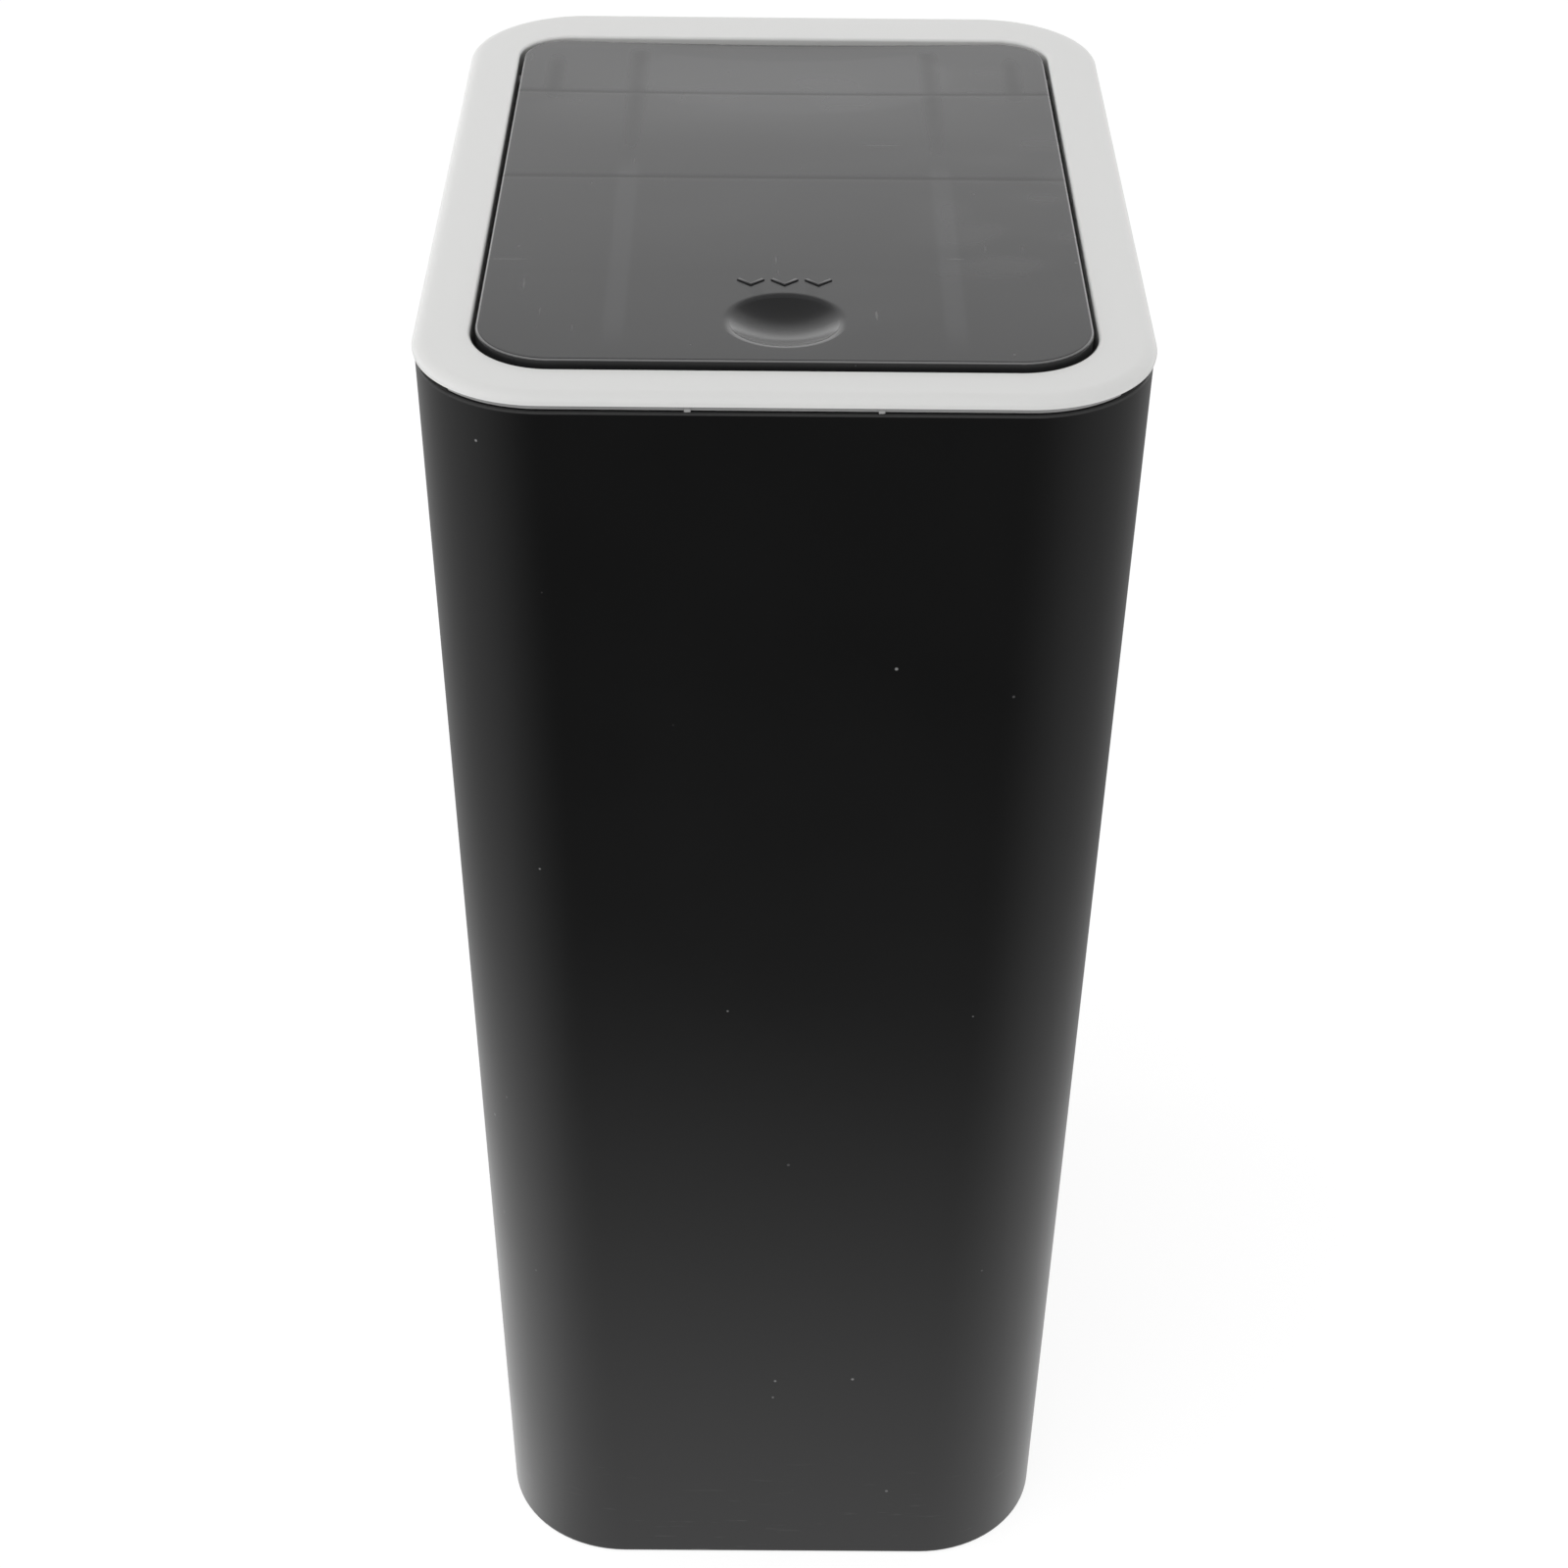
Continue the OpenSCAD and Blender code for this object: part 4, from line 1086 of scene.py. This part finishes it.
def eased(made, width):
    """Softens the edges of a piece made of blocks."""
    bevel = made.modifiers.new("soft_edges", "BEVEL")
    bevel.width = width
    bevel.segments = 2
    bevel.limit_method = "ANGLE"
    bevel.harden_normals = False
    return made


class BIN_OT_body(bpy.types.Operator):
    """Makes the bin body"""
    bl_idname = "bin.body"
    bl_label = "Bin body"

    def execute(self, context):
        scene = context.scene
        finish = body_finish(scene.bin_colours, scene.bin_body)
        body = piece("body_shell", [body_shell(scene.bin_body)], finish)
        placed(body, "bin", "body_black", "bin_body")
        return {"FINISHED"}


class BIN_OT_rim(bpy.types.Operator):
    """Makes the rim frame with its webs, pads, hinge bosses and latch shelf"""
    bl_idname = "bin.rim"
    bl_label = "Rim frame"

    def execute(self, context):
        scene = context.scene
        rim, latch = scene.bin_rim, scene.bin_latch
        finish = rim_finish(scene.bin_colours, rim)
        shapes = [rim_shell(rim), *reveal_bands(rim), *latch_shelf(rim, latch)]
        bosses = hinge_bosses(rim, scene.bin_hinge)
        placed(piece("rim_shell", shapes + bosses, finish), "rim", "rim_white", "rim_frame")
        webs = grown_rows("rim_row", rim_rows(rim, scene.bin_hinge), finish)
        placed(eased(joined("rim_webs", webs, finish), width=0.15 * MM), "rim", "rim_white")
        return {"FINISHED"}


class BIN_OT_lid(bpy.types.Operator):
    """Makes the lid with its ribs, hinge arms, latch seat and press mark"""
    bl_idname = "bin.lid"
    bl_label = "Lid"

    def execute(self, context):
        scene = context.scene
        lid, hinge = scene.bin_lid, scene.bin_hinge
        finish = lid_finish(scene.bin_colours, lid, hinge)
        shapes = [lid_shape(lid), latch_seat(lid), *seat_ribs(lid), *hinge_arms(lid, hinge)]
        placed(piece("lid_skin", lifted(shapes, hinge), finish), "lid", "lid_grey", "lid_panel")
        ribs = lifted(grown_rows("lid_row", lid_rows(lid), finish), hinge)
        placed(eased(joined("lid_ribs", ribs, finish), width=0.15 * MM), "lid", "lid_grey")

        mark = chevron_row().grow("press_mark", finish, {
            "Count": 3, "First": (-lid.mark_pitch, lid.mark_y, lid.top + 0.05 * MM),
            "Step": (lid.mark_pitch, 0, 0), "Half width": lid.mark_width / 2,
            "Depth": lid.mark_depth, "Stroke": lid.mark_stroke, "Height": 2 * lid.mark_height})
        lifted([mark], hinge)
        placed(eased(mark, width=0.12 * MM), "lid", "lid_grey")
        return {"FINISHED"}


class BIN_OT_hinges(bpy.types.Operator):
    """Makes the hinge pins and the lid springs"""
    bl_idname = "bin.hinges"
    bl_label = "Hinge pins and lid springs"

    def execute(self, context):
        steel = steel_finish(context.scene.bin_colours)
        hinge = context.scene.bin_hinge
        wire = swept_wire()
        settings = {"Radius": hinge.wire / 2, "Sides": 12}
        for side, sign in (("left", -1), ("right", 1)):
            dress(f"hinge_pin_{side}", steel)
            coil = wire.grow(f"spring_coil_{side}", steel, settings,
                             path_mesh(spring_path(hinge, sign, "coil")))
            placed(smoothed(coil, 50.0), "rim", "steel", f"lid_spring_{side}")
            leg = wire.grow(f"spring_leg_{side}", steel, settings,
                            path_mesh(spring_path(hinge, sign, "leg")))
            placed(smoothed(leg, 50.0), "lid", "steel")
        return {"FINISHED"}


class BIN_OT_latch(bpy.types.Operator):
    """Makes the push latch"""
    bl_idname = "bin.latch"
    bl_label = "Push latch"

    def execute(self, context):
        acetal = latch_finish(context.scene.bin_colours)
        steel = steel_finish(context.scene.bin_colours)
        for node in ("latch_tongue", "latch_housing"):
            dress(node, acetal)
        for node in ("tongue_screws", "housing_screws", "latch_catch"):
            dress(node, steel)
        return {"FINISHED"}


def plain_sheet(name, corners, colour, glow, only=None):
    """A flat sheet of the stage, with its own light if it glows, for one kind of ray or for all."""
    mesh = bpy.data.meshes.new(name)
    mesh.from_pydata(corners, [], [(0, 1, 2, 3)])
    sheet = bpy.data.objects.new(name, mesh)
    bpy.context.collection.objects.link(sheet)
    look = Look(name)
    if callable(glow):
        strength, colour_of_light = 1.0, glow(look)
    else:
        strength, colour_of_light = glow, rgb((1.0, 1.0, 1.0))
    mesh.materials.append(look.finish({
        "Base Color": rgb(colour), "Roughness": 0.9, "Specular IOR Level": 0.1,
        "Emission Color": colour_of_light, "Emission Strength": strength}))
    if only:
        for kind in ("camera", "glossy", "diffuse", "shadow", "transmission"):
            setattr(sheet, f"visible_{kind}", kind == only)


def floor_glow(look):
    """Brightness of the floor that the body mirrors: dark in front, bright at the sides."""
    _, x, y, _ = look.place()
    half_width, front_edge, corner, far = 0.045, -0.07, 0.03, 0.30
    aside = (abs(x) - half_width).at_least(0.0)
    ahead = front_edge - y
    away = aside.distance_to(ahead) - corner
    turned = aside.angle_with(ahead).ramp(0.05, 1.3)
    front = away.ramp(-0.02, 0.26, 1.0, 0.0)
    left = away.ramp(0.0, far, 1.35, 0.48)
    right = away.ramp(0.0, far, 1.05, 0.36)
    side = left + (right - left) * x.ramp(-0.03, 0.03)
    return front + (side - front) * turned


def square(low, high, z):
    return [(low[0], low[1], z), (high[0], low[1], z), (high[0], high[1], z), (low[0], high[1], z)]


def softbox(name, at, size, power):
    """A square light that faces the bin's top and that mirrors don't show."""
    light = bpy.data.lights.new(name, "AREA")
    light.shape = "RECTANGLE"
    light.size = light.size_y = size
    light.energy = power
    box = bpy.data.objects.new(name, light)
    aim = Vector((0.0, 0.0, 0.3))
    box.location = at
    box.rotation_euler = (Vector(at) - aim).to_track_quat("Z", "Y").to_euler()
    box.visible_glossy = False
    bpy.context.collection.objects.link(box)


class BIN_OT_studio(bpy.types.Operator):
    """Sets the floor, the lights and the camera"""
    bl_idname = "bin.studio"
    bl_label = "Studio"

    def execute(self, context):
        scene = context.scene
        studio = scene.bin_studio
        scene.view_settings.view_transform = "Standard"
        world = scene.world or bpy.data.worlds.new("soft_white")
        scene.world = world
        world.use_nodes = True
        background = world.node_tree.nodes["Background"]
        background.inputs["Color"].default_value = (1.0, 1.0, 1.0, 1.0)
        background.inputs["Strength"].default_value = studio.dome
        reach = 5.0
        black = (0.0, 0.0, 0.0)
        plain_sheet("floor", square((-reach, -reach), (reach, reach), 0.0), (0.25, 0.25, 0.25), 0.86)
        plain_sheet("mirrored_floor", square((-reach, -reach), (reach, reach), 0.001), black,
                    floor_glow, only="glossy")
        side, wall, join, top = 2.5, 1.2, 0.84, 1.5
        for name, low, high, glow in (("low_wall", 0.0, join, 1.32), ("high_wall", join, top, 0.93)):
            plain_sheet(name, [(-side, wall, low), (side, wall, low), (side, wall, high),
                               (-side, wall, high)], black, glow, only="glossy")
        ends = ((-reach, -reach), (reach, -reach), (reach, reach), (-reach, reach))
        for i, start in enumerate(ends):
            end = ends[(i + 1) % 4]
            plain_sheet(f"backdrop_{i}", [(*start, 0.0), (*end, 0.0), (*end, reach), (*start, reach)],
                        black, 1.0, only="camera")
        softbox("top_light", (-0.45, -0.50, 1.5), 1.6, studio.top_light)
        softbox("left_light", (-1.2, 0.0, 0.6), 1.0, studio.side_light)
        softbox("right_light", (1.2, 0.0, 0.6), 1.0, studio.side_light)
        camera = bpy.data.cameras.new("camera")
        camera.sensor_width = 36.0
        camera.lens = studio.lens
        camera.clip_start = 0.01
        seat = bpy.data.objects.new("camera", camera)
        seat.matrix_world = (
            Matrix.Translation(studio.camera_at) @ Matrix.Rotation(studio.yaw, 4, "Z")
            @ Matrix.Rotation(math.pi / 2 - studio.pitch, 4, "X")
            @ Matrix.Rotation(studio.roll, 4, "Z"))
        context.collection.objects.link(seat)
        scene.camera = seat
        return {"FINISHED"}


class BIN_PT_panel(bpy.types.Panel):
    """Lists the pieces of the bin"""
    bl_idname = "BIN_PT_panel"
    bl_label = "Push top bin"
    bl_space_type = "VIEW_3D"
    bl_region_type = "UI"
    bl_category = "Bin"

    def draw(self, context):
        layout = self.layout
        for label in GROUPS:
            group = getattr(context.scene, label)
            box = layout.box()
            for name in group.__annotations__:
                box.prop(group, name)
        for operator in PIECES:
            layout.operator(operator.bl_idname)


PIECES = (BIN_OT_body, BIN_OT_rim, BIN_OT_lid, BIN_OT_hinges, BIN_OT_latch, BIN_OT_studio)
GROUPS = {"bin_colours": BinColours, "bin_body": BodySizes, "bin_rim": RimSizes,
          "bin_lid": LidSizes, "bin_hinge": HingeSizes, "bin_latch": LatchSizes,
          "bin_studio": StudioSizes}


def register():
    for group in (*GROUPS.values(), *PIECES, BIN_PT_panel):
        bpy.utils.register_class(group)
    for name, group in GROUPS.items():
        setattr(bpy.types.Scene, name, bpy.props.PointerProperty(type=group))


def unregister():
    for name in GROUPS:
        delattr(bpy.types.Scene, name)
    for group in (BIN_PT_panel, *reversed(PIECES), *reversed(tuple(GROUPS.values()))):
        bpy.utils.unregister_class(group)


def main():
    register()
    for operator in PIECES:
        family, name = operator.bl_idname.split(".")
        getattr(getattr(bpy.ops, family), name)()


if __name__ == "__main__":
    main()
